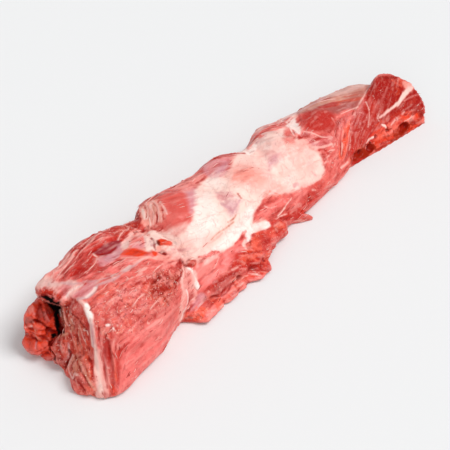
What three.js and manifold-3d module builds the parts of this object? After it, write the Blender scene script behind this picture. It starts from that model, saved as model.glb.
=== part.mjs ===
// Raw boiling beef: one long boneless piece of neck, lying on its flat underside.
// Millimetres, +Z up. +X runs from the thick folded end to the obliquely sliced end, and +Y is the
// steep side. It is one solid, because its muscles hold together: they are drawn one by one,
// joined, hollowed at the fold of the thick end, and cut along the sliced face.
import * as THREE from 'three';
import { mergeVertices } from 'three/addons/utils/BufferGeometryUtils.js';
import Module from 'manifold-3d';

const wasm = await Module();
wasm.setup();

// Driving dimensions
const FOLDED_END = -223; // x where the folded end meets the board
const SLICED_END = 237; // x of the tip of the sliced end
const BLOCK_LENGTH = 97; // the folded block, along its foot
const BLOCK_HEIGHT = 56; // top of the folded block above the board
const STRIP_HEIGHT = 48; // top of the long middle above the board
const CORNER_HEIGHT = 55; // top of the raised corner over the sliced face
const LEAN = 0.5; // how far the folded block leans back, per mm of height
const LIP_TURN = 16; // how far the lip of the flap is turned, in degrees
const TONGUE_TURN = -46; // how far the loose tongue is turned, in degrees
const FOLD_DEPTH = 40; // how deep the opening between the flap and the core runs in
const FOLD_NARROWING = 0.55; // the share of its width that the opening loses on the way
const FOLD_LEAD = 16; // how far in front of the end its outline is drawn
const UNEVENNESS = 1.3; // how far the hand-trimmed surface wanders
const WANDER_LENGTH = 46; // wavelength of that
const HEM_WANDER = 21; // wavelength of the same along the torn skirt
const TORN_DEPTH = 2.3; // depth of the notches in the skirt
const RELIEF_START = [2, 16]; // heights between which the relief of the surface grows from nothing
const CLEAR = 200; // the half size of a block that is larger than what it cuts off

// The sliced face is the plane through these three corners.
const FACE_FOOT = [123, -16.5, 3];
const FACE_TIP = [231, -28, 3];
const FACE_PEAK = [207, 11, 56];

const { lerp, smoothstep, degToRad } = THREE.MathUtils;

// A smooth line through a few knots [x, value], such as an outline of the piece seen from above.
function lineThrough(...knots) {
  const interpolant = new THREE.CubicInterpolant(knots.map((k) => k[0]), knots.map((k) => k[1]), 1);
  return (x) => interpolant.evaluate(x)[0];
}

// Slow bumps, between about -1 and 1.
function wander(p, wavelength) {
  const k = (2 * Math.PI) / wavelength;
  const across = Math.sin(k * (0.7 * p.y - 0.5 * p.z + 0.3 * p.x) + 4.1);
  const slow = Math.sin(k * (p.x + 0.6 * p.y) + 1.3) * across;
  const quick = Math.sin(k * (1.9 * p.x - 1.1 * p.y) + 0.4) * Math.sin(k * (1.3 * p.z + 1.7 * p.y) + 2.2);
  return 0.65 * slow + 0.35 * quick;
}

// The notches of a torn edge along x, between about -1 and 1.
function notches(x) {
  const broad = Math.sin(0.29 * x + 0.5) * Math.sin(0.11 * x + 2);
  const fine = Math.sin(0.52 * x + 3 * Math.sin(0.07 * x));
  return 0.6 * broad + 0.4 * fine;
}

// Bulges of meat seen from above: where, how long and wide, how high, and the turn of its length.
const BULGES = [
  { at: [-74, 27], long: 24, wide: 20, high: 4, turn: 10 }, // first rib print
  { at: [-36, 0], long: 24, wide: 12, high: 2.5, turn: 20 }, // the fat cushion below it
  { at: [-6, 38], long: 20, wide: 14, high: 4, turn: 0 }, // second rib print
  { at: [0, 4], long: 22, wide: 14, high: 3.5, turn: 0 },
  { at: [60, 30], long: 26, wide: 17, high: 3.5, turn: 0 }, // third rib print
  { at: [103, 12], long: 24, wide: 14, high: 2.5, turn: 0 },
  { at: [-160, 40], long: 34, wide: 12, high: 3, turn: 10 }, // the dark muscle behind the fold
  { at: [-122, 12], long: 16, wide: 11, high: 3, turn: 20 }, // the knuckle next to it
  { at: [-165, -28], long: 32, wide: 18, high: 2, turn: 0 },
];

// Seams between muscles, seen from above: the points they pass, their width and depth.
const SEAMS = [
  { through: [[-196, 30], [-172, 22], [-150, 24], [-128, 28], [-108, 34]], wide: 8, deep: 4 },
  { through: [[-90, 46], [-97, 26], [-100, 6], [-104, -10]], wide: 8, deep: 4 },
  { through: [[-44, 48], [-36, 30], [-30, 16]], wide: 11, deep: 3 },
  { through: [[30, 44], [34, 26], [26, 12], [28, -6]], wide: 11, deep: 4 },
  { through: [[86, 44], [84, 26], [76, 12], [62, -8]], wide: 10, deep: 3 },
  { through: [[-70, -24], [-40, -24], [0, -18], [34, -14], [66, -14]], wide: 9, deep: 2.5 },
];

// How far a point stands off the plain muscle, from the bulges, the seams and the uneven trimming.
function relief(p) {
  let off = UNEVENNESS * wander(p, WANDER_LENGTH);
  for (const { at, long, wide, high, turn } of BULGES) {
    const [dx, dy] = [p.x - at[0], p.y - at[1]];
    const [c, s] = [Math.cos(degToRad(turn)), Math.sin(degToRad(turn))];
    off += high * Math.exp(-(((dx * c + dy * s) / long) ** 2) - ((dy * c - dx * s) / wide) ** 2);
  }
  const here = new THREE.Vector3(p.x, p.y, 0);
  const nearest = new THREE.Vector3();
  for (const { through, wide, deep } of SEAMS) {
    const distances = through.slice(1).map(([x, y], i) => {
      const stretch = new THREE.Line3(new THREE.Vector3(...through[i], 0), new THREE.Vector3(x, y, 0));
      return stretch.closestPointToPoint(here, true, nearest).distanceTo(here);
    });
    off -= deep * Math.exp(-((Math.min(...distances) / wide) ** 2));
  }
  return off * smoothstep(p.z, ...RELIEF_START);
}

// A solid from a geometry whose loose corners are merged.
function solidOf(geometry) {
  geometry.deleteAttribute('normal');
  geometry.deleteAttribute('uv');
  const merged = mergeVertices(geometry, 1e-3);
  return new wasm.Manifold(new wasm.Mesh({
    numProp: 3,
    vertProperties: merged.attributes.position.array,
    triVerts: new Uint32Array(merged.index.array),
  }));
}

// One muscle, along +X: a box of fine squares drawn out to rounded cross-sections.
// low and high are its outlines seen from above, crest the line of its highest points and top their
// height. The cross-section is widest at waist on the high side and at hem on the low side, and
// round is its power: 1 is a straight slope, 2 an ellipse, 4 nearly square. endSize is the size of
// the end faces, blunt how suddenly they close, bulge how far they stand out, lean how far they lean
// back, torn the depth of the notches in the low edge, and off the relief.
function muscle({
  from, to, low, high, crest, top, waist, hem, lowRound, highRound, segments,
  floor = 0, blunt = 10, endSize = 0.85, bulge = 3, lean = 0, torn = 0, off = () => 0,
}) {
  const underside = { power: 0.5, flat: 1.25 }; // nearly square, and flat where it lies on the board
  const edgeOnly = 10; // a power that keeps the notches at the very edge
  const root = 0.3; // the relief stands away from a line at this share of the height
  const geometry = new THREE.BoxGeometry(2, 2, 2, ...segments);
  const position = geometry.attributes.position;
  const p = new THREE.Vector3();
  for (let i = 0; i < position.count; i++) {
    p.fromBufferAttribute(position, i);
    const along = p.x;
    const angle = Math.atan2(p.z, p.y);
    const rise = Math.abs(Math.sin(angle));
    const reach = Math.abs(Math.cos(angle));
    const inside = Math.max(Math.abs(p.y), Math.abs(p.z));
    const size = inside * (1 - (1 - endSize) * Math.pow(Math.abs(along), blunt));
    const x = lerp(from, to, (along + 1) / 2);
    const onHigh = Math.cos(angle) > 0;
    const side = onHigh ? high(x) : low(x);
    const middle = floor + (onHigh ? waist : hem);
    if (p.z > 0) {
      const power = 2 / (onHigh ? highRound : lowRound(x));
      p.y = crest(x) + size * (side - crest(x)) * Math.pow(reach, power);
      p.z = middle + size * (top(x) - middle) * Math.pow(rise, power);
    } else {
      const drop = Math.min(1, underside.flat * Math.pow(rise, underside.power));
      p.y = crest(x) + size * (side - crest(x)) * Math.pow(reach, underside.power);
      p.z = middle - inside * (middle - floor) * drop;
    }
    if (!onHigh) p.y += torn * notches(x) * size * Math.pow(reach, edgeOnly);
    const onEnd = Math.abs(along) === 1;
    p.x = x + (onEnd ? along * bulge * (1 - inside * inside) : 0);
    const outward = new THREE.Vector3(0, p.y - crest(x), p.z - root * top(x)).normalize();
    p.addScaledVector(outward, size * off(p));
    p.x += lean * p.z;
    position.setXYZ(i, p.x, p.y, Math.max(p.z, floor));
  }
  return solidOf(geometry);
}

// A rough lump: a ball of the given radii that leans back and wanders by rough.
function lump({ at, radii, lean = 0, rough = 1.2, segments = [18, 12] }) {
  const wavelength = 17;
  const geometry = new THREE.SphereGeometry(1, ...segments);
  const position = geometry.attributes.position;
  const p = new THREE.Vector3();
  for (let i = 0; i < position.count; i++) {
    p.fromBufferAttribute(position, i);
    const outward = p.clone();
    p.multiply(new THREE.Vector3(...radii));
    p.x += lean * p.z;
    p.add(new THREE.Vector3(...at));
    p.addScaledVector(outward, rough * wander(p, wavelength));
    position.setXYZ(i, p.x, p.y, p.z);
  }
  return solidOf(geometry);
}

const strip = muscle({
  from: -200,
  to: SLICED_END,
  segments: [70, 15, 8],
  low: lineThrough(
    [-200, -26], [-126, -30], [-60, -34], [0, -28], [30, -29], [75, -26], [104, -23], [123, -21],
    [142, -25], [165, -32], [197, -38], [SLICED_END, -42],
  ),
  high: lineThrough(
    [-200, 34], [-165, 43], [-125, 49], [-112, 53], [-92, 52.5], [-85, 58], [-62, 57.5], [-37, 57],
    [-20, 51], [-4, 54], [14, 54], [32, 47], [50, 48], [66, 54], [84, 54], [103, 50], [143, 43],
    [170, 39], [190, 32], [205, 27], [220, 18], [235, 2], [SLICED_END, -8],
  ),
  crest: lineThrough([-200, 8], [-110, 14], [0, 16], [100, 18], [150, 24], [190, 14], [SLICED_END, -18]),
  top: lineThrough(
    [-200, 38], [-120, 44], [-97, 46], [-84, STRIP_HEIGHT + 1], [-60, STRIP_HEIGHT + 1], [0, STRIP_HEIGHT],
    [60, STRIP_HEIGHT + 1], [100, STRIP_HEIGHT - 1], [150, 46], [185, 46], [205, 41], [SLICED_END, 32],
  ),
  waist: 26,
  hem: 8,
  lowRound: lineThrough(
    [-200, 1.8], [-60, 1.7], [60, 1.5], [110, 1.2], [135, 1.15], [160, 1.5], [181, 2.2], [SLICED_END, 2.4],
  ),
  highRound: 3.4,
  endSize: 0.86,
  off: relief,
});

// The raised corner over the sliced face.
const corner = muscle({
  from: 156,
  to: SLICED_END + 6,
  floor: 7,
  segments: [18, 8, 6],
  low: lineThrough([156, -8], [176, -24], [200, -34], [243, -34]),
  high: lineThrough([156, 6], [170, 10], [190, 13], [200, 15], [212, 14], [226, 9], [236, 1], [243, -9]),
  crest: lineThrough([156, 0], [200, 6], [225, -4], [243, -18]),
  top: lineThrough([156, 32], [168, 41], [185, 49], [200, CORNER_HEIGHT], [215, 53], [230, 45], [243, 33]),
  waist: 30,
  hem: 10,
  lowRound: () => 2,
  highRound: 3,
  endSize: 0.8,
  off: relief,
});

const blockEnd = FOLDED_END + BLOCK_LENGTH;
const block = muscle({
  from: FOLDED_END,
  to: blockEnd,
  segments: [18, 16, 10],
  low: lineThrough([FOLDED_END, -43], [-213, -51], [-188, -49.5], [-158, -45], [-144, -39], [blockEnd, -35]),
  high: lineThrough([FOLDED_END, 37], [-206, 45], [-189, 50.5], [-173, 53], [-154, 49.5], [blockEnd, 43]),
  crest: lineThrough([FOLDED_END, -6], [-190, -2], [blockEnd, 2]),
  top: lineThrough([FOLDED_END, 54], [-205, BLOCK_HEIGHT], [-180, BLOCK_HEIGHT], [-150, 52], [blockEnd, 46]),
  waist: 30,
  hem: 6,
  lowRound: lineThrough([FOLDED_END, 1.3], [-190, 1.6], [-150, 1.8], [blockEnd, 1.8]),
  highRound: 4,
  blunt: 18,
  endSize: 0.96,
  bulge: -1.5,
  lean: LEAN,
  off: relief,
});

// The lip of the flap, which stands out over the core.
const lip = muscle({
  from: 0,
  to: 44,
  segments: [8, 8, 2],
  low: () => -15,
  high: lineThrough([0, 18], [20, 18], [44, 12]),
  crest: () => 0,
  top: lineThrough([0, 50.5], [16, 54], [44, 50]),
  floor: 44,
  waist: 3,
  hem: 3,
  lowRound: () => 2.4,
  highRound: 2.4,
  bulge: 1,
  endSize: 0.7,
  off: (p) => 0.7 * wander(p, HEM_WANDER),
}).rotate([0, 0, LIP_TURN]).translate([-206, 20, 0]);

// The core, in three lumps, and the chunks that show inside the fold.
const core = [
  lump({ at: [-211, 29, 28], radii: [11, 12.5, 10.5], lean: LEAN, rough: 1.6 }),
  lump({ at: [-216, 26, 13], radii: [11, 13.5, 12], lean: LEAN, rough: 1.6 }),
  lump({ at: [-206, 35, 30], radii: [6, 6, 7], lean: LEAN, rough: 0.8, segments: [14, 10] }),
];
const chunks = [
  lump({ at: [-213, 3, 16], radii: [7, 9, 13], lean: LEAN, rough: 1.5 }),
  lump({ at: [-216, -25, 9], radii: [11, 14, 14], lean: LEAN, rough: 1.5 }),
];

// The skirt of trimmed meat along the low side, in two layers with torn edges.
const lowerHem = muscle({
  from: -130,
  to: -28,
  segments: [30, 6, 2],
  low: lineThrough(
    [-130, -38], [-117, -50], [-99, -50], [-75, -49], [-59, -49], [-46, -53], [-36, -50], [-28, -42],
  ),
  high: () => -10,
  crest: () => -30,
  top: lineThrough([-130, 12], [-100, 10], [-28, 8]),
  waist: 4,
  hem: 3,
  lowRound: () => 2,
  highRound: 2,
  bulge: 0,
  endSize: 0.6,
  torn: TORN_DEPTH,
  off: (p) => wander(p, HEM_WANDER),
});
const upperHem = muscle({
  from: -112,
  to: 14,
  segments: [38, 7, 3],
  low: lineThrough(
    [-112, -40], [-80, -43], [-55, -42], [-45, -45], [-25, -40], [-15, -37], [0, -36], [9, -32], [14, -27],
  ),
  high: () => 0,
  crest: () => -20,
  top: lineThrough([-112, 20], [-60, 24], [0, 20], [14, 16]),
  floor: 3,
  waist: 5,
  hem: 5,
  lowRound: () => 1.7,
  highRound: 2,
  bulge: 0,
  endSize: 0.6,
  torn: -TORN_DEPTH,
  off: (p) => wander(p, HEM_WANDER),
});

// The loose tongue of meat that points away from the low side.
const tongue = muscle({
  from: -14,
  to: 27,
  segments: [14, 5, 3],
  low: lineThrough([-14, -6], [5, -6], [27, -3]),
  high: lineThrough([-14, 6], [5, 5], [27, 3]),
  crest: () => 0,
  top: lineThrough([-14, 12], [8, 10], [27, 7]),
  waist: 3,
  hem: 3,
  lowRound: () => 2,
  highRound: 2,
  blunt: 2.5,
  endSize: 0.15,
  bulge: 0,
}).rotate([0, 0, TONGUE_TURN]).translate([19, -17, 0]);

// The opening between the flap and the core: a crescent, drawn as [y, z] round its centre, that
// leans with the block and narrows as it runs in.
function foldOpening() {
  const centre = [18, 35];
  const outline = new THREE.SplineCurve([
    [48, 41.5], [36, 44], [27, 45.5], [19, 45.5], [12.5, 41], [8.5, 34.5], [4.5, 28.5], [3, 22.5], [9, 18],
    [16, 22], [20, 30], [26, 37], [36, 39.5], [48, 38.5],
  ].map(([y, z]) => new THREE.Vector2(y, z)));
  const crescent = new THREE.Shape(outline.getPoints(48));
  const cutter = new THREE.ExtrudeGeometry(crescent, { depth: FOLD_DEPTH, steps: 4, bevelEnabled: false });
  const position = cutter.attributes.position;
  for (let i = 0; i < position.count; i++) {
    const depth = position.getZ(i);
    const narrow = 1 - FOLD_NARROWING * (depth / FOLD_DEPTH);
    const y = lerp(centre[0], position.getX(i), narrow);
    const z = lerp(centre[1], position.getY(i), narrow);
    position.setXYZ(i, FOLDED_END - FOLD_LEAD + depth + LEAN * z, y, z);
  }
  return solidOf(cutter);
}

// What the slice takes off: a large block with one face on the sliced face. It starts a little
// before the ridge that bounds the face, so that the ridge is where the plane meets the meat.
function sliceBlock() {
  const beforeRidge = 3;
  const [foot, tip, peak] = [FACE_FOOT, FACE_TIP, FACE_PEAK].map((v) => new THREE.Vector3(...v));
  const facing = new THREE.Plane().setFromCoplanarPoints(foot, tip, peak).normal;
  const alongRidge = peak.clone().sub(foot).normalize();
  const acrossRidge = alongRidge.clone().cross(facing);
  const pose = new THREE.Matrix4().makeBasis(acrossRidge, alongRidge, facing).setPosition(foot);
  const cutter = new THREE.BoxGeometry(2 * CLEAR, 2 * CLEAR, 2 * CLEAR);
  return solidOf(cutter.translate(CLEAR - beforeRidge, 0, CLEAR).applyMatrix4(pose));
}

// The ragged hollows along the foot of the sliced face, as [x, y, z, half length, half height].
const pitDepth = 4.5;
const pits = [
  [136, -16, 7, 9, 3.5], [155, -18, 7, 6, 5], [168, -18, 12, 5, 2.5], [185, -18.5, 11, 5, 3],
  [207, -23, 7, 8, 5],
].map(([x, y, z, long, high]) => (
  lump({ at: [x, y, z], radii: [long, pitDepth, high], rough: 1.5, segments: [12, 8] })
));

// The hollow at the foot of the folded end, between the core and the chunks.
const footHollow = lump({ at: [FOLDED_END - 7, 4, -2], radii: [14, 13, 9], rough: 1 });

const underBoard = solidOf(new THREE.BoxGeometry(4 * CLEAR, 2 * CLEAR, CLEAR).translate(0, 0, -CLEAR / 2));

const added = [block, corner, lip, ...core, ...chunks, lowerHem, upperHem, tongue];
const joined = added.reduce((sum, part) => sum.add(part), strip);
const removed = [foldOpening(), footHollow, sliceBlock(), ...pits, underBoard];
const trimmed = removed.reduce((rest, cut) => rest.subtract(cut), joined);

// Slivers that the cuts leave loose are dropped.
const [whole] = trimmed.decompose().sort((a, b) => b.volume() - a.volume());
const { vertProperties, triVerts } = whole.getMesh();
const geometry = new THREE.BufferGeometry()
  .setAttribute('position', new THREE.BufferAttribute(new Float32Array(vertProperties), 3))
  .setIndex(new THREE.BufferAttribute(new Uint32Array(triVerts), 1));

// The origin is the middle of the underside.
geometry.computeBoundingBox();
const middle = geometry.boundingBox.getCenter(new THREE.Vector3());
geometry.translate(-middle.x, -middle.y, -geometry.boundingBox.min.z);
geometry.computeVertexNormals();

const beef = new THREE.Mesh(geometry, new THREE.MeshStandardMaterial({
  name: 'raw_beef',
  color: new THREE.Color(0.72, 0.2, 0.17),
  roughness: 0.42,
  metalness: 0,
}));
beef.name = 'boiling_beef';

const piece = new THREE.Group();
piece.add(beef);

export default piece;
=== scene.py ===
import math

import bmesh
import bpy
import numpy as np
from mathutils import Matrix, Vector
from mathutils.bvhtree import BVHTree


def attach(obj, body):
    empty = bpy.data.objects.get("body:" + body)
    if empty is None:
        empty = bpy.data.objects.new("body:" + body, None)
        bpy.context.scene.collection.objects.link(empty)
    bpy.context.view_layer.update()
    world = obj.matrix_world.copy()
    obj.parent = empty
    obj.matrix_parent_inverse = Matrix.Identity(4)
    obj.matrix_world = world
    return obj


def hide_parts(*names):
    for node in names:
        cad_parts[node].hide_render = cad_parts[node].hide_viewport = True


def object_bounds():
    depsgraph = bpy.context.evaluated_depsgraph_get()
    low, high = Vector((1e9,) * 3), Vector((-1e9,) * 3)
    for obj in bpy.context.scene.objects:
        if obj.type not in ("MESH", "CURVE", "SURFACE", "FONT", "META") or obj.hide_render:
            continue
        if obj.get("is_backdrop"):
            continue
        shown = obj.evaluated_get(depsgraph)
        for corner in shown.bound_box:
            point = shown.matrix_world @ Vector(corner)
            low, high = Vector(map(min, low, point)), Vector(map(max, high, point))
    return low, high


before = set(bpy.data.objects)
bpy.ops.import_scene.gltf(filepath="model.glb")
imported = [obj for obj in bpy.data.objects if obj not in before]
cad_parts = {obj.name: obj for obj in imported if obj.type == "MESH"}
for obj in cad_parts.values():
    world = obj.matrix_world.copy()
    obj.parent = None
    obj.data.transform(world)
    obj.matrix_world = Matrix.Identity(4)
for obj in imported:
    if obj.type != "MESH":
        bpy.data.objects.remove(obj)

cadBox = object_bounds()
mm = 0.001

# The photo's view of the beef: lengths in mm, angles in degrees.
photoCamera = {
    "azimuth": -49,
    "elevation": 40,
    "lens": 70,
    "sensor": 36,
    "distance": 731,
    "target": (-46.365, -2.813, 22),
    "pixels": 450,
}

# Colours as they show in the photo, red, green and blue up to 255.
palette = {
    "lean": (231, 116, 108),
    "leanPale": (243, 158, 150),
    "leanPink": (247, 132, 126),
    "leanDeep": (207, 60, 50),
    "leanDark": (172, 32, 24),
    "brown": (202, 88, 68),
    "brownDark": (132, 30, 14),
    "orange": (236, 70, 28),
    "orangeSoft": (243, 106, 82),
    "core": (204, 64, 30),
    "coreDark": (112, 20, 4),
    "fat": (254, 238, 231),
    "cream": (253, 217, 206),
    "fatPink": (250, 196, 186),
    "peach": (252, 174, 161),
    "beige": (214, 146, 122),
    "silver": (216, 170, 170),
    "lilac": (206, 148, 158),
    "mauve": (226, 158, 163),
    "grey": (228, 194, 187),
    "membrane": (204, 150, 138),
    "membraneDark": (178, 92, 86),
    "purple": (150, 44, 56),
    # painted shade: near black, for deep gaps, cracks and small holes
    "gapShade": (14, 4, 3),
    "pit": (158, 38, 6),
    # the dark of meat juice, and also the painted shade in hollows
    "juiceAndShade": (176, 26, 14),
    "darkJuiceAndShade": (108, 12, 4),
    "crumb": (250, 158, 138),
}
paintDepth = 1.14  # a power that deepens the colours, because the light falls on them again


def linear(channel):
    # from a shown value up to 255 to a linear one
    c = channel / 255
    return c / 12.92 if c <= 0.04045 else ((c + 0.055) / 1.055) ** 2.4


def linearColour(name):
    return np.array([linear(c) for c in palette[name]]) ** paintDepth


def newObject(name, data):
    made = bpy.data.objects.new(name, data)
    bpy.context.scene.collection.objects.link(made)
    return made


def evaluatedMesh(made):
    # a new mesh of an object as its modifiers leave it
    return bpy.data.meshes.new_from_object(made.evaluated_get(bpy.context.evaluated_depsgraph_get()))


def cornersOf(mesh):
    # the places of a mesh's corners, in metres
    corners = np.zeros(len(mesh.vertices) * 3, np.float32)
    mesh.vertices.foreach_get("co", corners)
    return corners.reshape(-1, 3)


# Camera
azimuth = math.radians(photoCamera["azimuth"])
elevation = math.radians(photoCamera["elevation"])
toCamera = np.array([
    math.sin(azimuth) * math.cos(elevation),
    -math.cos(azimuth) * math.cos(elevation),
    math.sin(elevation),
])
eye = np.array(photoCamera["target"]) + toCamera * photoCamera["distance"]
screenRight = np.cross(-toCamera, (0, 0, 1))
screenRight /= np.linalg.norm(screenRight)
screenUp = np.cross(screenRight, -toCamera)
focal = photoCamera["lens"] / photoCamera["sensor"] * photoCamera["pixels"]

camera = newObject("camera", bpy.data.cameras.new("camera"))
camera.data.lens = photoCamera["lens"]
camera.data.sensor_width = photoCamera["sensor"]
camera.data.clip_start = 0.01
camera.location = Vector(eye * mm)
camera.rotation_mode = "QUATERNION"
camera.rotation_quaternion = Vector(-toCamera).to_track_quat("-Z", "Y")
bpy.context.scene.camera = camera


def project(points):
    # the photo's pixels of points in mm
    d = points - eye
    depth = -(d @ toCamera)
    half = photoCamera["pixels"] / 2
    return np.stack([half + focal * (d @ screenRight) / depth, half - focal * (d @ screenUp) / depth], 1)


def sightLine(px, py):
    # the direction from the eye through a pixel of the photo
    half = photoCamera["pixels"] / 2
    d = -toCamera + screenRight * (px - half) / focal + screenUp * (half - py) / focal
    return d / np.linalg.norm(d)


# The surface of the beef, from the CAD solid
surface = {"voxel": 0.95, "smoothing": 22, "triangles": 196000}


def remeshed(node):
    # an even mesh of small squares over the CAD solid: corners in mm and faces
    copy = newObject("copy", node.data.copy())
    bm = bmesh.new()
    bm.from_mesh(copy.data)
    bmesh.ops.remove_doubles(bm, verts=bm.verts, dist=1e-6)
    bm.to_mesh(copy.data)
    bm.free()
    modifier = copy.modifiers.new("even", "REMESH")
    modifier.mode = "VOXEL"
    modifier.voxel_size = surface["voxel"] * mm
    mesh = evaluatedMesh(copy)
    corners = cornersOf(mesh).astype(float) / mm
    squares = np.zeros(len(mesh.loops), np.int32)
    mesh.loops.foreach_get("vertex_index", squares)
    bpy.data.objects.remove(copy)
    bpy.data.meshes.remove(mesh)
    return corners, squares.reshape(-1, 4)


points, squares = remeshed(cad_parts["boiling_beef"])
count = len(points)
sides = np.concatenate([squares[:, [i, (i + 1) % 4]] for i in range(4)])
sides = np.unique(np.sort(sides, 1), axis=0)
neighbours = np.bincount(sides.ravel(), minlength=count)[:, None]


def averaged(values):
    # each corner's mean over its neighbours
    total = np.stack([
        np.bincount(sides[:, 0], v[sides[:, 1]], count) + np.bincount(sides[:, 1], v[sides[:, 0]], count)
        for v in values.T
    ], 1)
    return total / neighbours


def smoothed(values, rounds, back=0.0):
    # evened out, and swollen back so that the whole doesn't shrink
    for _ in range(rounds):
        values = values + 0.6 * (averaged(values) - values)
        if back:
            values = values - back * (averaged(values) - values)
    return values


def normalsOf(corners):
    across = corners[squares[:, 2]] - corners[squares[:, 0]]
    other = corners[squares[:, 3]] - corners[squares[:, 1]]
    facing = np.cross(across, other)
    sums = np.stack([
        sum(np.bincount(squares[:, k], facing[:, axis], count) for k in range(4)) for axis in range(3)
    ], 1)
    return sums / np.maximum(np.linalg.norm(sums, axis=1, keepdims=True), 1e-9)


points = smoothed(points, surface["smoothing"], back=0.61)
normals = normalsOf(points)
tree = BVHTree.FromPolygons(points.tolist(), squares.tolist())
print(f"surface: {count} corners, {len(squares)} squares")


# One seed for each use of chance.
seeds = {
    "slow": 1,
    "broad": 2,
    "edge": 5,
    "edgeFine": 6,
    "crumbs": 21,
    "uneven": 23,
    "fineFibres": 31,
    "coarseFibres": 32,
    "threads": 41,
    "chunks": 61,
    "shredPlaces": 7,
    "crumbPlaces": 11,
}


def hashed(cells, seed):
    # a fixed random value from -1 to 1 for each whole-number cell; the large numbers only scramble its bits
    n = cells[:, 0] * 374761393 + cells[:, 1] * 668265263 + cells[:, 2] * 1440662683 + seed * 1274126177
    n = n & 0xFFFFFFFF
    n = ((n ^ (n >> 13)) * 1274126177) & 0xFFFFFFFF
    return ((n ^ (n >> 16)) & 0xFFFF) / 32767.5 - 1


def noise(where, wavelength, seed=0, octaves=1):
    # smooth random values, about -1 to 1
    total, weight = np.zeros(len(where)), 0
    for octave in range(octaves):
        p = where / wavelength * 2**octave + 31.7 * octave
        cell = np.floor(p).astype(np.int64)
        f = p - cell
        f = f * f * (3 - 2 * f)
        value = np.zeros(len(where))
        for corner in range(8):
            step = np.array([corner & 1, corner >> 1 & 1, corner >> 2 & 1])
            share = np.prod(np.where(step, f, 1 - f), axis=1)
            value += share * hashed(cell + step, seed + octave)
        total += value * 0.55**octave
        weight += 0.55**octave
    return total / weight


def facets(where, size, seed):
    # torn chunks of about this size: how high each point stands, and a value that a whole chunk shares
    p = where / size
    cell = np.floor(p).astype(np.int64)
    nearest = np.full(len(where), 1e9)
    tilt, shared = np.zeros(len(where)), np.zeros(len(where))
    for step in np.ndindex(3, 3, 3):
        other = cell + np.array(step) - 1
        d = p - other - 0.5 - 0.35 * np.stack([hashed(other, seed + k) for k in range(3)], 1)
        distance = np.linalg.norm(d, axis=1)
        closer = distance < nearest
        nearest[closer] = distance[closer]
        slope = np.stack([hashed(other[closer], seed + k) for k in (3, 4, 5)], 1)
        tilt[closer] = np.sum(d[closer] * slope, axis=1)
        shared[closer] = hashed(other[closer], seed + 6)
    return 0.6 * (0.5 - nearest) + tilt, shared


def ramp(value, low, high):
    t = np.clip((value - low) / (high - low), 0, 1)
    return t * t * (3 - 2 * t)


# Painting: colour, fat and relief are laid on the corners in the order of the lists below.
pixel = project(points)
facing = normals @ toCamera
openToEye = np.zeros(count)
for i in np.nonzero(facing > 0)[0]:
    start = points[i] + normals[i]
    toEye = eye - start
    hit = tree.ray_cast(Vector(start), Vector(toEye).normalized())
    openToEye[i] = hit[0] is None
seen = openToEye * ramp(facing, 0.0, 0.1)
edgeWander = noise(points, 7, seeds["edge"]) * 0.7 + noise(points, 2.8, seeds["edgeFine"]) * 0.5


def met(start, way):
    # the first point of the surface that a ray meets, in mm, or None where it passes by
    hit = tree.ray_cast(Vector(start), Vector(way))[0]
    return None if hit is None else np.array(hit)


def cast(px, py):
    # the point of the surface behind a pixel of the photo
    return met(eye, sightLine(px, py))


# Muscles whose fibres run one way in the photo: a pixel in the middle, the way in pixels, the reach in mm.
muscles = [
    ((108, 360), (0.12, 1), 16),
    ((140, 345), (1, -0.8), 22),
    ((165, 315), (1, -0.9), 18),
    ((130, 310), (1, -0.8), 20),
    ((110, 285), (1, -0.55), 20),
    ((150, 265), (1, -0.5), 18),
    ((75, 260), (1, -1.1), 16),
    ((100, 242), (1, -0.6), 16),
    ((128, 225), (1, -0.6), 14),
    ((152, 214), (0.4, 1), 10),
    ((175, 208), (1, -0.3), 20),
    ((210, 225), (1, -0.7), 30),
    ((218, 165), (1, -0.4), 16),
    ((250, 178), (1, -0.3), 20),
    ((270, 145), (1, -0.5), 20),
    ((300, 170), (1, -0.5), 28),
    ((275, 208), (1, -0.6), 16),
    ((305, 198), (1, -0.8), 14),
    ((318, 122), (1, -0.5), 16),
    ((325, 140), (1, -0.2), 12),
    ((335, 98), (1, -0.35), 18),
    ((342, 140), (-0.15, 1), 14),
    ((335, 170), (-0.6, 1), 12),
    ((360, 120), (-0.35, 1), 14),
    ((385, 95), (-0.4, 1), 18),
    ((400, 125), (1, -0.5), 14),
    ((205, 275), (1, -1.1), 14),
    ((225, 275), (1, -0.7), 14),
    ((250, 260), (1, 0.1), 12),
    ((265, 240), (1, -0.6), 12),
    ((222, 300), (1, -0.8), 12),
    ((88, 350), (0.25, 1), 8),
    ((62, 350), (0.3, 1), 8),
    ((80, 385), (0.4, 1), 8),
    ((38, 312), (0.4, 1), 10),
    ((36, 342), (1, 0.1), 10),
]


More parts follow.
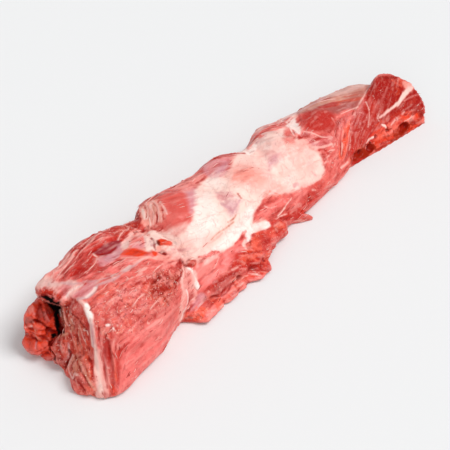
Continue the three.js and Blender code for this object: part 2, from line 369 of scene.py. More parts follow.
def fibreFrames():
    # for each corner: its place along and across the fibres of its muscle in mm, how far it is inside that
    # muscle, and the way that its fibres run
    best, second = np.full(count, 1e9), np.full(count, 1e9)
    where = np.zeros((count, 3))
    blend = np.zeros((count, 3))
    for index, ((px, py), (dx, dy), reach) in enumerate(muscles):
        middle = cast(px, py)
        way = cast(px + 3 * dx, py + 3 * dy) - cast(px - 3 * dx, py - 3 * dy)
        way /= np.linalg.norm(way)
        up = np.array(tree.find_nearest(Vector(middle))[1])
        across = np.cross(up, way)
        across /= np.linalg.norm(across)
        up = np.cross(way, across)
        d = points - middle
        distance = np.linalg.norm(d, axis=1) / reach + 0.15 * edgeWander
        mine = distance < best
        second = np.where(mine, best, np.minimum(second, distance))
        best[mine] = distance[mine]
        where[mine] = np.stack([d @ way + 40 * index, d @ across, d @ up], 1)[mine]
        weight = np.exp(-3 * np.maximum(distance, 0) ** 2) + 1e-6
        blend += (weight * np.where(blend @ way < 0, -1, 1))[:, None] * way
    blend -= normals * np.sum(blend * normals, axis=1)[:, None]
    blend /= np.maximum(np.linalg.norm(blend, axis=1), 1e-9)[:, None]
    return where, ramp(second - best, 0.02, 0.16), smoothed(blend, 4)


fibre, insideMuscle, fibreWay = fibreFrames()


def drawnOut(wavelength, length, seed):
    # noise drawn out along the fibres, about -1 to 1
    steps = np.linspace(-0.5, 0.5, 2 * int(length / wavelength) + 1)
    total = sum(noise(points + fibreWay * length * t, wavelength, seed) * (1 - t * t) for t in steps)
    return total / total.std() * 0.4


fineFibres = drawnOut(1.9, 9, seeds["fineFibres"])
coarseFibres = drawnOut(4.2, 20, seeds["coarseFibres"])
feather = edgeWander * 0.8 + fineFibres * 0.7 + coarseFibres * 0.6  # painted edges run out along the fibres
print("fibres drawn")

# What the painting sets on each corner.
paint = np.zeros((count, 3))
fat = np.zeros(count)
plain = np.zeros(count)  # 1 where the shader adds no streaks
lift = np.zeros(count)  # in mm
ragged = np.zeros(count)
looseness = np.full(count, 0.7)
holePlain = 0.8  # from this much on, plain marks a hole, which takes no tint and no loose bits


def curved(knots, spacing):
    # points along a smooth line through the knots
    k = np.array([knots[0], *knots, knots[-1]], float)
    line = []
    for a, b, c, d in zip(k, k[1:], k[2:], k[3:]):
        steps = max(2, int(np.linalg.norm(c[:2] - b[:2]) / spacing) + 1)
        for t in np.linspace(0, 1, steps, endpoint=False):
            line.append(0.5 * (2 * b + (c - a) * t + (2 * a - 5 * b + 4 * c - d) * t**2
                               + (3 * b - a - 3 * c + d) * t**3))
    line.append(k[-2])
    return np.array(line)


def overPaint(where, share, colour, fatness=None):
    # a colour over these corners, and how fat it makes them, which follows from its name unless it is given
    if fatness is None:
        fatness = fatColours.get(colour, 0.0)
    share = share[:, None]
    paint[where] = paint[where] * (1 - share) + linearColour(colour) * share
    fat[where] = fat[where] * (1 - share[:, 0]) + fatness * share[:, 0]
    if colour in ("gapShade", "pit"):
        plain[where] += (1 - plain[where]) * share[:, 0]


# How fat the meat is under a colour; the others are lean.
fatColours = {
    "fat": 1.0,
    "cream": 1.0,
    "fatPink": 0.9,
    "peach": 0.7,
    "silver": 0.75,
    "lilac": 0.6,
    "mauve": 0.5,
    "grey": 0.8,
    "membrane": 0.4,
    "membraneDark": 0.25,
    "beige": 0.4,
}
threadHalf = 0.7  # pale lines up to this half width in mm also get a thread of their own
threadRoutes = []
passedBy = []  # how many points of each stroke lie beside the beef


def reached(side, u, v):
    # the point of the surface met from a side: u and v are x and z from behind, y and z from the folded
    # end, and x and y from above
    start, way = {
        "behind": ((u, 200, v), (0, -1, 0)),
        "foldedEnd": ((-400, u, v), (1, 0, 0)),
        "above": ((u, v, 200), (0, 0, -1)),
    }[side]
    return met(start, way)


def stroke(colour, knots, width=1.0, soft=0.7, opacity=1.0, raised=0.0, wander=0.6, side=None):
    # a brush stroke along pixels of the photo, or along mm on a side that it hides; its half width in mm,
    # raised or sunk by so many mm
    knots = [(*k, width)[:3] for k in knots]
    line = curved(knots, 1.2 if side is None else 2)
    places = [cast(u, v) if side is None else reached(side, u, v) for u, v, _ in line]
    on = [place is not None for place in places]
    passedBy.append(len(on) - sum(on))
    if not any(on):
        return
    along = np.array([place for place in places if place is not None])
    half = line[on, 2]
    lineNormal = np.array([np.array(tree.find_nearest(Vector(p))[1]) for p in along])
    reach = half.max() + soft + 2
    near = np.nonzero(np.all((points > along.min(0) - reach) & (points < along.max(0) + reach), axis=1))[0]
    if not len(near):
        return
    distance = np.full(len(near), 1e9)
    nearest = np.zeros(len(near), int)
    for i, p in enumerate(along):
        d = np.linalg.norm(points[near] - p, axis=1) - half[i]
        closer = d < distance
        distance[closer] = d[closer]
        nearest[closer] = i
    sameSide = ramp(np.sum(normals[near] * lineNormal[nearest], axis=1), -0.1, 0.35)
    distance = distance + wander * feather[near] * np.minimum(1, half[nearest])
    share = ramp(-distance, -soft, soft) * sameSide
    overPaint(near, share * opacity, colour)
    lift[near] += raised * share * ramp(-distance, -soft, half.mean())
    if fatColours.get(colour, 0) > 0.6 and half.max() <= threadHalf:
        threadRoutes.append((along, half.mean(), 0.5 + 0.5 * (colour in ("fat", "cream"))))


def within(outline, soft, wander):
    # the corners in an outline of the photo's pixels and how much of each is covered; soft and wander are
    # in pixels too
    o = curved([*outline, outline[0]], 3)[:, :2]
    low, high = o.min(0) - soft - wander, o.max(0) + soft + wander
    near = np.nonzero(np.all((pixel > low) & (pixel < high), axis=1) & (seen > 0))[0]
    p = pixel[near]
    inside = np.zeros(len(near), bool)
    distance = np.full(len(near), 1e9)
    for (x0, y0), (x1, y1) in zip(o, np.roll(o, -1, 0)):
        spans = (y0 > p[:, 1]) != (y1 > p[:, 1])
        if y1 != y0:
            inside ^= spans & (p[:, 0] < x0 + (x1 - x0) * (p[:, 1] - y0) / (y1 - y0))
        step = np.array([x1 - x0, y1 - y0])
        t = np.clip(((p - (x0, y0)) @ step) / max(step @ step, 1e-9), 0, 1)
        distance = np.minimum(distance, np.linalg.norm(p - (x0, y0) - t[:, None] * step, axis=1))
    depth = np.where(inside, distance, -distance) + wander * feather[near]
    return near, ramp(depth, -soft, soft) * seen[near]


def patch(colour, outline, soft=2.0, opacity=1.0, wander=1.8, raised=0.0):
    near, share = within(outline, soft, wander)
    overPaint(near, share * opacity, colour)
    lift[near] += raised * share


def ground(torn, smooth, loose, outline, soft=4.0, wander=3.0):
    # how torn the meat is in an outline, how little its fibres show, and how many of them lie loose
    near, share = within(outline, soft, wander)
    for values, value in ((ragged, torn), (plain, smooth), (looseness, loose)):
        values[near] += (value - values[near]) * share


# Lean meat everywhere first, redder and paler in slow waves.
everywhere = slice(None)
slow = noise(points, 38, seeds["slow"], 3)
broad = noise(points, 15, seeds["broad"], 3)
paint[:] = linearColour("lean")
overPaint(everywhere, ramp(slow, 0.0, 0.5) * 0.5, "leanDeep")
overPaint(everywhere, ramp(broad, 0.1, 0.6) * 0.4, "leanPale", 0.1)
overPaint(everywhere, ramp(-broad, 0.25, 0.7) * 0.5, "leanDark")

# Where the photo doesn't look: fat, membrane and darker muscles in ragged sheets, each with its wavelength
# in mm, its seed, the height of the noise where it starts, and its opacity.
hidden = 1 - smoothed(seen[:, None], 6)[:, 0]
sheets = [
    ("leanDeep", 26, 51, 0.0, 0.6),
    ("leanPink", 30, 52, 0.1, 0.6),
    ("membrane", 42, 53, 0.22, 0.85),
    ("fatPink", 34, 54, 0.3, 0.9),
    ("cream", 24, 55, 0.42, 0.9),
    ("leanDark", 20, 56, 0.32, 0.7),
]
for colour, wavelength, seed, start, opacity in sheets:
    height = noise(points * (0.6, 1, 1), wavelength, seed, 3) + 0.1 * feather
    overPaint(everywhere, ramp(height, start, start + 0.12) * hidden * opacity, colour)

# Kinds of meat: how torn, how smooth, how many fibres lie loose, an outline in the photo's pixels, and where
# needed how soft its edge is and how far it wanders.
grounds = [
    (1, 0, 1, [(98, 318), (112, 312), (128, 314), (132, 326), (122, 338), (106, 336)], 4),
    (0.8, 0.1, 1, [(92, 300), (112, 288), (140, 280), (170, 266), (184, 266), (182, 284), (176, 300),
        (160, 316), (140, 330), (118, 336), (98, 330), (92, 318)], 6),
    (0.25, 0.45, 0.6, [(116, 340), (140, 332), (176, 306), (180, 320), (160, 356), (118, 396), (110, 396),
        (114, 350)], 6),
    (1, 0.1, 1, [(146, 284), (158, 273), (172, 275), (184, 266), (181, 282), (172, 296), (166, 304),
        (154, 300)]),
    (0.75, 0.1, 0.4, [(60, 302), (74, 300), (84, 306), (92, 350), (97, 396), (84, 398), (66, 376), (52, 352),
        (62, 330)]),
    (0.25, 0.7, 0.05, [(26, 303), (42, 299), (52, 303), (59, 320), (58, 334), (52, 342), (52, 356), (36, 353),
        (23, 344), (25, 328)]),
    (0.1, 0.7, 0.04, [(116, 257), (122, 248), (138, 246), (150, 250), (156, 238), (168, 238), (174, 244),
        (170, 250), (160, 250), (158, 260), (140, 260)], 2, 1),
    (0.2, 0.6, 0.1, [(90, 254), (100, 246), (118, 238), (124, 246), (114, 256), (100, 258)], 2, 1),
    (0.1, 0.65, 0.03, [(286, 118), (304, 104), (322, 95), (345, 82), (372, 81), (366, 98), (354, 112),
        (334, 117), (318, 112), (302, 117)], 2, 1),
    (0.15, 0.7, 0.12, [(156, 198), (184, 184), (196, 192), (194, 210), (178, 234), (164, 232), (158, 214)]),
    (0.4, 0.2, 0.3, [(140, 206), (150, 199), (160, 196), (166, 214), (162, 230), (148, 232), (142, 222)]),
    (0.35, 0.6, 0.05, [(302, 118), (306, 112), (320, 111), (334, 114), (336, 126), (326, 132), (308, 130)]),
    (0.6, 0.5, 0.05, [(372, 80), (380, 74), (402, 76), (412, 84), (422, 98), (424, 112), (408, 114),
        (384, 122), (366, 140), (352, 158), (352, 130), (362, 104)]),
    (0.45, 0.55, 0.05, [(350, 160), (368, 142), (374, 132), (384, 124), (396, 117), (412, 112), (422, 112),
        (420, 124), (402, 137), (384, 144), (366, 158), (352, 164)]),
    (0.4, 0.4, 0.5, [(253, 224), (258, 206), (274, 196), (300, 190), (320, 180), (342, 160), (350, 164),
        (334, 182), (314, 206), (284, 216)]),
    (0.15, 0.6, 0.2, [(190, 268), (200, 262), (214, 258), (226, 250), (240, 238), (246, 246), (238, 260),
        (224, 272), (212, 284), (202, 294), (194, 286)]),
    (0.5, 0.35, 0.3, [(250, 242), (258, 230), (270, 220), (284, 218), (288, 230), (276, 250), (268, 270),
        (250, 272), (228, 296), (206, 320), (184, 322), (196, 304), (214, 284), (236, 258)]),
]
for entry in grounds:
    ground(*entry)

# Larger areas: the colour, an outline in the photo's pixels, and what else the patch call takes.
areas = [
    # the folded block: its near slope, its top and its end
    ("lean", [(84, 300), (108, 288), (132, 276), (160, 264), (184, 266), (186, 300), (180, 322), (150, 372),
        (118, 400), (100, 400), (92, 350)]),
    ("leanPink", [(128, 330), (160, 322), (180, 318), (160, 360), (130, 388), (116, 396), (118, 366)], 7),
    ("leanPale", [(150, 306), (176, 300), (180, 322), (160, 340), (140, 336)], 6, 0.25),
    ("purple", [(94, 302), (110, 294), (140, 288), (170, 296), (176, 322), (150, 366), (118, 394),
        (104, 380)], 6, 0.1),
    ("lean", [(66, 284), (90, 262), (120, 252), (160, 252), (178, 262), (150, 276), (108, 292), (84, 302)]),
    ("leanPink", [(68, 281), (92, 276), (118, 268), (134, 258), (126, 254), (108, 262), (90, 270), (70, 276)],
        2),
    ("orangeSoft", [(96, 296), (100, 289), (112, 286), (120, 286), (110, 293), (98, 300)], 2, 0.7),
    ("leanPink", [(104, 270), (112, 262), (120, 257), (131, 258), (134, 262), (122, 270), (111, 273)], 2, 1,
        1),
    ("leanPale", [(112, 264), (120, 259), (130, 259), (124, 266), (114, 269)], 2, 0.3),
    ("leanDeep", [(136, 286), (140, 281), (150, 279), (146, 286), (140, 289)], 2, 0.7),
    ("brown", [(148, 284), (158, 273), (172, 275), (182, 268), (180, 282), (172, 296), (166, 304), (154, 300),
        (146, 296)], 4, 0.85),
    ("leanDark", [(150, 286), (157, 276), (170, 277), (179, 271), (178, 282), (170, 294), (158, 298)], 4,
        0.35),
    ("brown", [(60, 302), (74, 300), (84, 306), (92, 350), (97, 396), (84, 398), (70, 376), (66, 350),
        (62, 330)]),
    ("leanDeep", [(66, 330), (76, 334), (82, 350), (76, 352), (70, 346), (66, 340)], 2, 0.6),
    ("beige", [(68, 320), (73, 318), (74, 328), (70, 331)], 1.5, 0.7),
    ("leanDeep", [(68, 303), (76, 301), (83, 305), (86, 316), (88, 328), (80, 322), (72, 312)], 2, 0.9),
    ("lean", [(70, 302), (80, 304), (84, 312), (78, 312), (71, 308)], 2, 0.8),
    ("leanDeep", [(80, 332), (88, 332), (92, 350), (95, 372), (96, 382), (91, 378), (86, 358), (81, 345)],
        1.5, 0.7),
    ("orangeSoft", [(83, 340), (88, 342), (91, 358), (93, 372), (88, 366), (84, 352)], 2, 0.8),
    ("beige", [(72, 340), (78, 342), (79, 352), (74, 350)], 2, 0.3),
    ("orangeSoft", [(70, 342), (78, 340), (80, 352), (73, 354)], 2, 0.3),
    ("brown", [(52, 338), (62, 334), (68, 342), (69, 356), (64, 368), (58, 364), (54, 354)], 2),
    ("leanDeep", [(56, 340), (66, 338), (68, 352), (64, 366), (58, 360)], 2, 0.8),
    ("leanDark", [(55, 341), (66, 337), (69, 352), (65, 366), (57, 360)], 2, 0.7),
    ("orange", [(58, 362), (66, 366), (70, 374), (64, 372), (58, 367)], 1.5, 0.6),
    ("lean", [(70, 378), (80, 374), (90, 384), (92, 397), (82, 398), (74, 390)], 2, 0.9),
    ("orangeSoft", [(72, 388), (80, 382), (88, 388), (84, 396), (76, 396)], 3, 0.4),
    ("beige", [(72, 356), (78, 354), (80, 366), (79, 376), (72, 372)], 2, 0.7),
    ("orangeSoft", [(84, 384), (92, 388), (94, 396), (84, 397)], 2, 0.8),
    ("core", [(26, 303), (42, 299), (52, 303), (59, 320), (58, 334), (52, 342), (52, 356), (36, 353),
        (23, 344), (25, 328), (28, 316)]),
    ("orange", [(22, 334), (27, 326), (31, 324), (30, 332), (29, 346), (24, 344)], 1.2, 0.9),
    ("orange", [(27, 308), (32, 304), (34, 306), (33, 312), (35, 319), (29, 317)], 1.2, 0.8),
    ("orange", [(42, 303), (47, 303), (50, 308), (46, 308), (43, 308)], 1, 0.8),
    ("orange", [(30, 324), (38, 323), (46, 327), (50, 331), (42, 331), (36, 329)], 1.2, 0.7),
    ("orange", [(38, 342), (50, 340), (52, 354), (42, 354), (36, 349)], 1.5, 0.8),
    ("peach", [(28, 308), (33, 306), (34, 310), (32, 314), (29, 313)], 1, 0.45),
    ("leanDark", [(43, 308), (50, 310), (57, 323), (58, 331), (52, 329), (45, 320)], 1.5, 0.8),
    ("coreDark", [(28, 334), (32, 334), (34, 340), (32, 345), (29, 344)], 1.2, 0.55),
    ("leanDark", [(35, 306), (41, 304), (43, 312), (43, 320), (37, 320)], 1.2, 0.6),
    # painted shade: the deep gap under the lip and beside the core
    ("gapShade", [(38, 297), (44, 292), (50, 296), (57, 301), (61, 305), (61.5, 320), (65, 329), (64, 334),
        (56, 337), (51, 343), (51, 335), (55, 329), (53, 320), (50, 309), (44, 300)], 1),
    ("leanPale", [(33, 290), (42, 282), (54, 274), (66, 280), (80, 284), (76, 294), (66, 299), (54, 291),
        (40, 290)], 2),
    ("fatPink", [(33, 289), (40, 282), (50, 277), (60, 279), (64, 284), (54, 287), (44, 288), (36, 291)], 1.5,
        0.8),
    ("cream", [(36, 288), (42, 282), (52, 278), (62, 280), (60, 285), (48, 287)], 2, 0.5, 3),
    ("silver", [(40, 286), (48, 281), (57, 280), (60, 284), (50, 286)], 1.5, 0.4, 2),
    ("fatPink", [(60, 282), (70, 280), (76, 284), (70, 289), (62, 290)], 2, 0.5, 3),
    ("grey", [(36, 288), (46, 280), (60, 278), (76, 282), (72, 290), (58, 290), (44, 290)], 3, 0.45, 3),
    ("lean", [(58, 288), (66, 284), (72, 288), (66, 296), (60, 294)], 2, 0.7),
    ("mauve", [(60, 288), (68, 285), (74, 288), (68, 296), (62, 295)], 2, 0.45),
    ("leanDark", [(33, 290), (38, 289), (46, 291), (52, 290), (58, 294), (50, 296), (42, 296), (36, 296)],
        1.2, 0.7),
    ("fatPink", [(66, 298), (68, 292), (73, 287), (79, 286), (77, 291), (71, 296)], 1.2, 0.7),
    ("mauve", [(72, 297), (80, 289), (88, 282), (96, 282), (92, 292), (82, 299)], 2, 0.8),
    # the dark muscle behind the block
    ("leanDeep", [(52, 276), (60, 256), (76, 240), (100, 230), (122, 218), (142, 210), (142, 226), (130, 236),
        (122, 248), (110, 254), (96, 256), (90, 268), (76, 276), (60, 282)]),
    ("leanPale", [(50, 280), (54, 262), (66, 252), (72, 258), (66, 272), (60, 282)], 4, 0.7),
    ("lean", [(72, 262), (80, 248), (94, 238), (112, 230), (108, 240), (92, 248), (84, 262)], 4, 0.7, 3),
    ("brown", [(112, 238), (118, 226), (134, 216), (142, 214), (140, 224), (126, 234)], 3, 0.5),
    ("purple", [(92, 252), (100, 247), (109, 242), (119, 240), (121, 244), (114, 251), (106, 256), (98, 255)],
        1.5),
    ("lilac", [(106, 256), (114, 251), (121, 245), (124, 250), (118, 256), (110, 258)], 1.5, 0.9),
    ("mauve", [(97, 264), (100, 258), (109, 255), (118, 256), (114, 262), (106, 267), (100, 268)], 1.5, 0.8),
    ("lilac", [(104, 258), (112, 256), (118, 257), (112, 261), (106, 262)], 1.5, 0.6),
    ("leanDeep", [(92, 272), (97, 266), (105, 266), (104, 270), (96, 273)], 1.5, 0.8),
    ("peach", [(122, 246), (127, 237), (132, 233), (146, 231), (150, 236), (152, 250), (140, 251),
        (124, 250)], 1.5),
    ("grey", [(121, 247), (126, 239), (132, 234), (134, 237), (130, 243), (126, 249)], 1.2, 0.8),
    ("leanPink", [(130, 247), (131, 239), (137, 236), (144, 238), (144, 248), (136, 250)], 1.5, 0.85),
    ("mauve", [(132, 246), (138, 243), (144, 243), (144, 249), (136, 249)], 1.5, 0.6),
    ("cream", [(144, 236), (149, 236), (152, 240), (152, 250), (148, 252), (145, 248)], 1, 0.9, 0.6),
    ("orange", [(120, 255), (124, 251), (130, 249), (138, 249), (146, 252), (150, 253), (144, 255),
        (140, 257), (132, 256)], 1, 1, 0.5),
    # the long middle
    ("peach", [(140, 208), (150, 199), (158, 198), (164, 206), (166, 216), (162, 226), (148, 230),
        (142, 220)], 2),
    ("lean", [(150, 228), (156, 222), (162, 222), (160, 230), (154, 232)], 1.5, 0.8),
    ("lean", [(156, 198), (172, 187), (184, 184), (194, 192), (194, 210), (188, 224), (178, 234), (164, 236),
        (158, 228), (166, 216), (164, 206)], 2),
    ("leanDeep", [(164, 200), (170, 190), (180, 190), (190, 204), (190, 216), (182, 222), (172, 214)], 5,
        0.35),
    ("fatPink", [(168, 228), (180, 224), (188, 224), (184, 234), (172, 238), (164, 234)], 3, 0.7),
    ("mauve", [(184, 188), (194, 186), (200, 194), (197, 208), (191, 214), (188, 200)], 3.5, 0.95, 1),
    ("leanPale", [(170, 188), (186, 180), (204, 172), (200, 184), (190, 190)], 2, 0.8),
    ("cream", [(150, 236), (160, 232), (178, 236), (190, 226), (194, 214), (200, 198), (196, 190), (206, 178),
        (222, 174), (240, 182), (262, 190), (280, 193), (300, 190), (320, 180), (326, 172), (324, 158),
        (312, 148), (300, 140), (288, 124), (293, 119), (300, 112), (288, 114), (262, 126), (244, 142),
        (240, 150), (232, 160), (230, 172), (216, 176), (262, 198), (256, 212), (252, 226), (244, 236),
        (232, 246), (222, 252), (204, 256), (186, 262), (166, 254), (152, 252)], 3, 1, 1.2),
    ("cream", [(196, 192), (214, 178), (240, 178), (262, 188), (264, 198), (256, 214), (250, 230), (236, 246),
        (218, 252), (198, 258), (180, 256), (168, 248), (158, 238), (176, 238), (190, 228), (196, 212)], 4, 1,
        1),
    ("fat", [(200, 196), (212, 192), (214, 204), (222, 216), (216, 228), (200, 236), (190, 232), (196, 214)],
        6, 0.6, 5),
    ("fat", [(222, 236), (240, 220), (250, 206), (256, 212), (250, 228), (240, 238), (226, 248), (214, 250)],
        4, 0.9, 3),
    ("fat", [(204, 182), (214, 178), (226, 182), (222, 188), (208, 188)], 4, 0.5, 4),
    ("grey", [(186, 240), (200, 236), (214, 240), (204, 246), (190, 246)], 5, 0.5, 5),
    ("peach", [(164, 244), (176, 241), (190, 247), (186, 256), (170, 254)], 6, 0.45, 4),
    ("fatPink", [(196, 250), (212, 240), (226, 230), (234, 222), (230, 232), (214, 246), (200, 256)], 4, 0.5,
        4),
    ("mauve", [(214, 193), (226, 191), (236, 195), (230, 200), (222, 203), (217, 199)], 3, 0.75, 3),
    ("lilac", [(221, 197), (232, 197), (241, 199), (239, 208), (231, 217), (224, 210)], 4, 0.6, 3),
    ("leanPale", [(216, 196), (222, 194), (226, 198), (221, 201)], 3, 0.4, 3),
    ("mauve", [(201, 170), (206, 161), (222, 158), (232, 160), (228, 170), (218, 175), (206, 176)], 2.5, 0.95,
        2.5),
    ("leanPale", [(206, 168), (214, 162), (222, 162), (216, 170), (209, 173)], 4, 0.5, 3),
    ("lilac", [(214, 170), (222, 164), (232, 161), (228, 169), (218, 174)], 3, 0.6, 4),
    ("fatPink", [(228, 176), (232, 163), (252, 157), (270, 170), (274, 184), (260, 192), (242, 189),
        (230, 186)], 6, 0.7, 4),
    ("peach", [(231, 176), (236, 168), (248, 166), (262, 174), (266, 182), (256, 187), (240, 183)], 5, 0.9,
        3),
    ("orangeSoft", [(233, 174), (238, 168), (247, 168), (253, 175), (246, 179), (238, 178)], 5, 0.3, 3),
    ("grey", [(252, 150), (256, 139), (268, 131), (283, 132), (285, 142), (276, 150), (262, 154)], 3, 0.85,
        4),
    ("fatPink", [(254, 150), (266, 143), (280, 140), (284, 148), (272, 154), (260, 156)], 4, 0.6, 4),
    ("cream", [(262, 137), (270, 133), (282, 132), (280, 137), (268, 140)], 3, 0.55, 4),
    ("mauve", [(266, 160), (270, 153), (282, 149), (284, 155), (276, 164), (268, 170)], 5, 0.7, 4),
    ("lilac", [(268, 160), (276, 155), (279, 160), (270, 168)], 4, 0.5, 3),
    ("fat", [(242, 152), (244, 143), (252, 142), (256, 148), (250, 155)], 2),
    ("lean", [(244, 144), (254, 134), (268, 125), (290, 117), (290, 124), (276, 130), (258, 138), (248, 148)],
        1.5),
    ("lean", [(284, 130), (290, 127), (296, 136), (294, 143), (286, 144)], 2, 0.85),
    ("fatPink", [(280, 148), (290, 140), (302, 138), (316, 148), (308, 158), (290, 158), (280, 160)], 6, 0.85,
        5),
    ("peach", [(286, 142), (298, 138), (308, 144), (300, 150), (288, 152)], 5, 0.4, 4),
    ("leanDeep", [(285, 132), (291, 130), (296, 137), (293, 143), (286, 142)], 2, 0.5, 3),
    ("fatPink", [(258, 192), (272, 184), (286, 186), (296, 190), (284, 194), (268, 196)], 4, 0.75, 4),
    ("fatPink", [(300, 186), (312, 180), (322, 172), (322, 178), (308, 188)], 3, 0.6, 4),
    ("peach", [(268, 188), (276, 185), (286, 189), (278, 193)], 4, 0.4, 3),
    ("fatPink", [(280, 176), (286, 160), (302, 154), (316, 158), (320, 168), (310, 178), (294, 184)], 7, 0.5,
        6),
    ("peach", [(296, 160), (306, 156), (314, 162), (306, 170), (298, 168)], 5, 0.25, 4),
    ("fat", [(287, 125), (292, 119), (298, 124), (300, 134), (294, 132)], 1.5, 0.9),
    # the near lower side
    ("lean", [(253, 224), (252, 218), (258, 206), (264, 199), (274, 196), (290, 196), (300, 190), (320, 180),
        (330, 168), (342, 160), (350, 164), (334, 182), (314, 206), (302, 208), (284, 216), (270, 219)], 1.5),
    ("leanPink", [(258, 212), (262, 204), (274, 198), (286, 200), (280, 212), (268, 216)], 3, 0.7),
    ("leanDeep", [(300, 207), (306, 196), (310, 188), (318, 190), (316, 202), (306, 208)], 2, 0.8),
    ("leanPink", [(284, 202), (292, 194), (304, 190), (306, 196), (298, 204), (288, 208)], 3, 0.85),
    ("leanPale", [(290, 200), (298, 193), (305, 192), (300, 200), (292, 204)], 3, 0.4),
    ("leanDeep", [(310, 190), (318, 182), (324, 182), (320, 192)], 2, 0.6),
    ("leanDeep", [(280, 218), (290, 212), (300, 208), (313, 215), (310, 220), (286, 220)], 1.5),
    ("cream", [(248, 232), (253, 224), (262, 221), (269, 222), (267, 228), (258, 231), (252, 236)], 2, 0.95,
        3),
    ("fat", [(244, 240), (246, 232), (250, 226), (254, 226), (250, 236), (247, 244), (244, 248)], 1.5, 0.9,
        2),
    ("leanDeep", [(250, 242), (258, 230), (270, 228), (270, 220), (280, 219), (287, 226), (286, 240),
        (276, 250), (272, 264), (262, 264), (250, 256)], 1.5),
    ("orangeSoft", [(250, 242), (258, 232), (272, 230), (276, 236), (262, 240), (254, 248)], 2.5, 0.6),
    ("lean", [(254, 244), (262, 236), (276, 234), (276, 246), (270, 256), (258, 256)], 3, 0.5),
    ("fat", [(246, 238), (250, 229), (256, 224), (264, 223), (268, 221), (270, 225), (266, 229), (258, 231),
        (252, 236), (249, 242)], 1.2, 1, 1.5),
    ("brown", [(272, 228), (280, 222), (286, 227), (280, 231)], 2, 0.8),
    ("leanPink", [(196, 264), (214, 258), (226, 250), (238, 240), (244, 232), (246, 250), (238, 262),
        (226, 270), (214, 282), (204, 292), (196, 284)], 1.5),
    ("leanPale", [(200, 266), (212, 262), (216, 272), (206, 282), (198, 276)], 4, 0.5),
    ("fatPink", [(192, 262), (202, 258), (216, 255), (218, 258), (206, 262), (196, 266)], 2, 0.7, 3),
    ("leanDeep", [(236, 254), (248, 250), (258, 258), (267, 264), (266, 272), (250, 270), (236, 272),
        (228, 268)], 2),
    ("leanDeep", [(214, 282), (226, 274), (238, 272), (230, 284), (220, 294), (210, 300), (196, 310),
        (190, 306), (202, 292)], 2, 0.9),
    ("leanDark", [(216, 282), (226, 275), (240, 270), (236, 280), (226, 290), (216, 299), (206, 305),
        (209, 294)], 3, 0.85, 3),
    ("lean", [(196, 294), (208, 286), (212, 292), (204, 302), (196, 304)], 2, 0.7),
    ("orangeSoft", [(184, 312), (196, 306), (206, 308), (206, 320), (184, 322)], 1.5),
    ("leanPink", [(203, 320), (212, 306), (222, 298), (232, 286), (242, 276), (262, 274), (268, 270),
        (266, 280), (250, 284), (238, 296), (222, 310)], 1.5),
    ("leanPale", [(226, 300), (232, 290), (242, 281), (250, 281), (242, 290), (232, 302)], 2, 0.6, 2),
    ("orange", [(238, 280), (246, 274), (258, 272), (266, 269), (266, 274), (256, 277), (246, 279)], 1.2, 0.8,
        1),
    ("fatPink", [(182, 266), (190, 266), (198, 280), (196, 292), (188, 300), (184, 318), (178, 320),
        (182, 296), (180, 280)], 1.5, 0.8),
    ("leanPale", [(184, 274), (190, 271), (193, 282), (188, 292), (184, 286)], 2, 0.8),
    ("leanPink", [(188, 290), (194, 290), (194, 298), (188, 306), (184, 312), (184, 300)], 1.5),
    ("fatPink", [(186, 296), (190, 294), (189, 304), (184, 314), (183, 306)], 1.5, 0.6),
    ("mauve", [(194, 300), (202, 292), (205, 297), (198, 308), (188, 313)], 1.5, 0.9),
    # the sliced end
    ("membrane", [(290, 115), (304, 105), (322, 97), (345, 84), (370, 83), (364, 98), (352, 112), (334, 114),
        (318, 110), (302, 114)], 1.5),
    ("grey", [(318, 100), (334, 90), (350, 85), (368, 84), (352, 92), (334, 97)], 2, 0.5),
    ("membraneDark", [(300, 113), (318, 107), (334, 105), (352, 102), (362, 100), (352, 111), (334, 115)], 2,
        0.9),
    ("purple", [(322, 110), (336, 107), (344, 107), (340, 112), (328, 113)], 2, 0.2),
    ("beige", [(298, 112), (314, 103), (330, 98), (348, 93), (366, 88), (362, 98), (344, 102), (322, 104)], 2,
        0.5),
    ("core", [(319, 107.5), (325, 104.5), (332, 102.5), (340, 101), (352, 98), (362, 97), (360, 100),
        (346, 103), (336, 106), (326, 108)], 0.8, 0.8, 0.4),
    ("leanDark", [(318, 107.5), (324, 105), (331, 103), (336, 102.5), (336, 106), (330, 107), (322, 108.5)],
        0.7, 1, 0.3),
    ("membraneDark", [(338, 108), (350, 104), (362, 100), (356, 106), (344, 111)], 2, 0.8, 2),
    ("membraneDark", [(344, 98), (356, 92), (366, 90), (362, 97), (350, 101)], 3, 0.6, 3),
    ("leanDark", [(302, 118), (306, 112), (320, 111), (334, 114), (336, 126), (326, 132), (308, 130)], 3,
        0.9),
    ("leanDeep", [(302, 118), (306, 112), (320, 111), (334, 114), (336, 126), (326, 132), (308, 130)], 3,
        0.5),
    ("leanPale", [(304, 132), (320, 132), (338, 128), (340, 138), (328, 146), (310, 146)], 3, 0.4),
    ("lean", [(314, 134), (326, 132), (336, 132), (332, 142), (320, 142)], 3, 0.7, 3),
    ("mauve", [(308, 140), (322, 136), (334, 138), (326, 146), (312, 146)], 2, 0.5),
    ("leanDeep", [(314, 136), (324, 134), (334, 135), (332, 144), (318, 144)], 3, 0.45, 3),
    ("lean", [(334, 116), (350, 110), (356, 114), (352, 136), (350, 158), (346, 170), (330, 178), (324, 168),
        (322, 154), (336, 142), (340, 130)], 2),
    ("orangeSoft", [(337, 156), (341, 140), (347, 122), (353, 120), (350, 136), (347, 150), (342, 160)], 1.5),
    ("orange", [(340, 152), (343, 140), (348, 126), (350, 128), (347, 142), (343, 154)], 2, 0.45),
    ("leanDark", [(372, 82), (378, 76), (402, 76), (412, 84), (422, 98), (424, 112), (420, 124), (400, 138),
        (380, 146), (358, 160), (350, 160), (352, 130), (362, 104)], 1.5),
    ("leanDeep", [(350, 158), (352, 128), (362, 104), (370, 96), (376, 112), (372, 128), (362, 144)], 4),
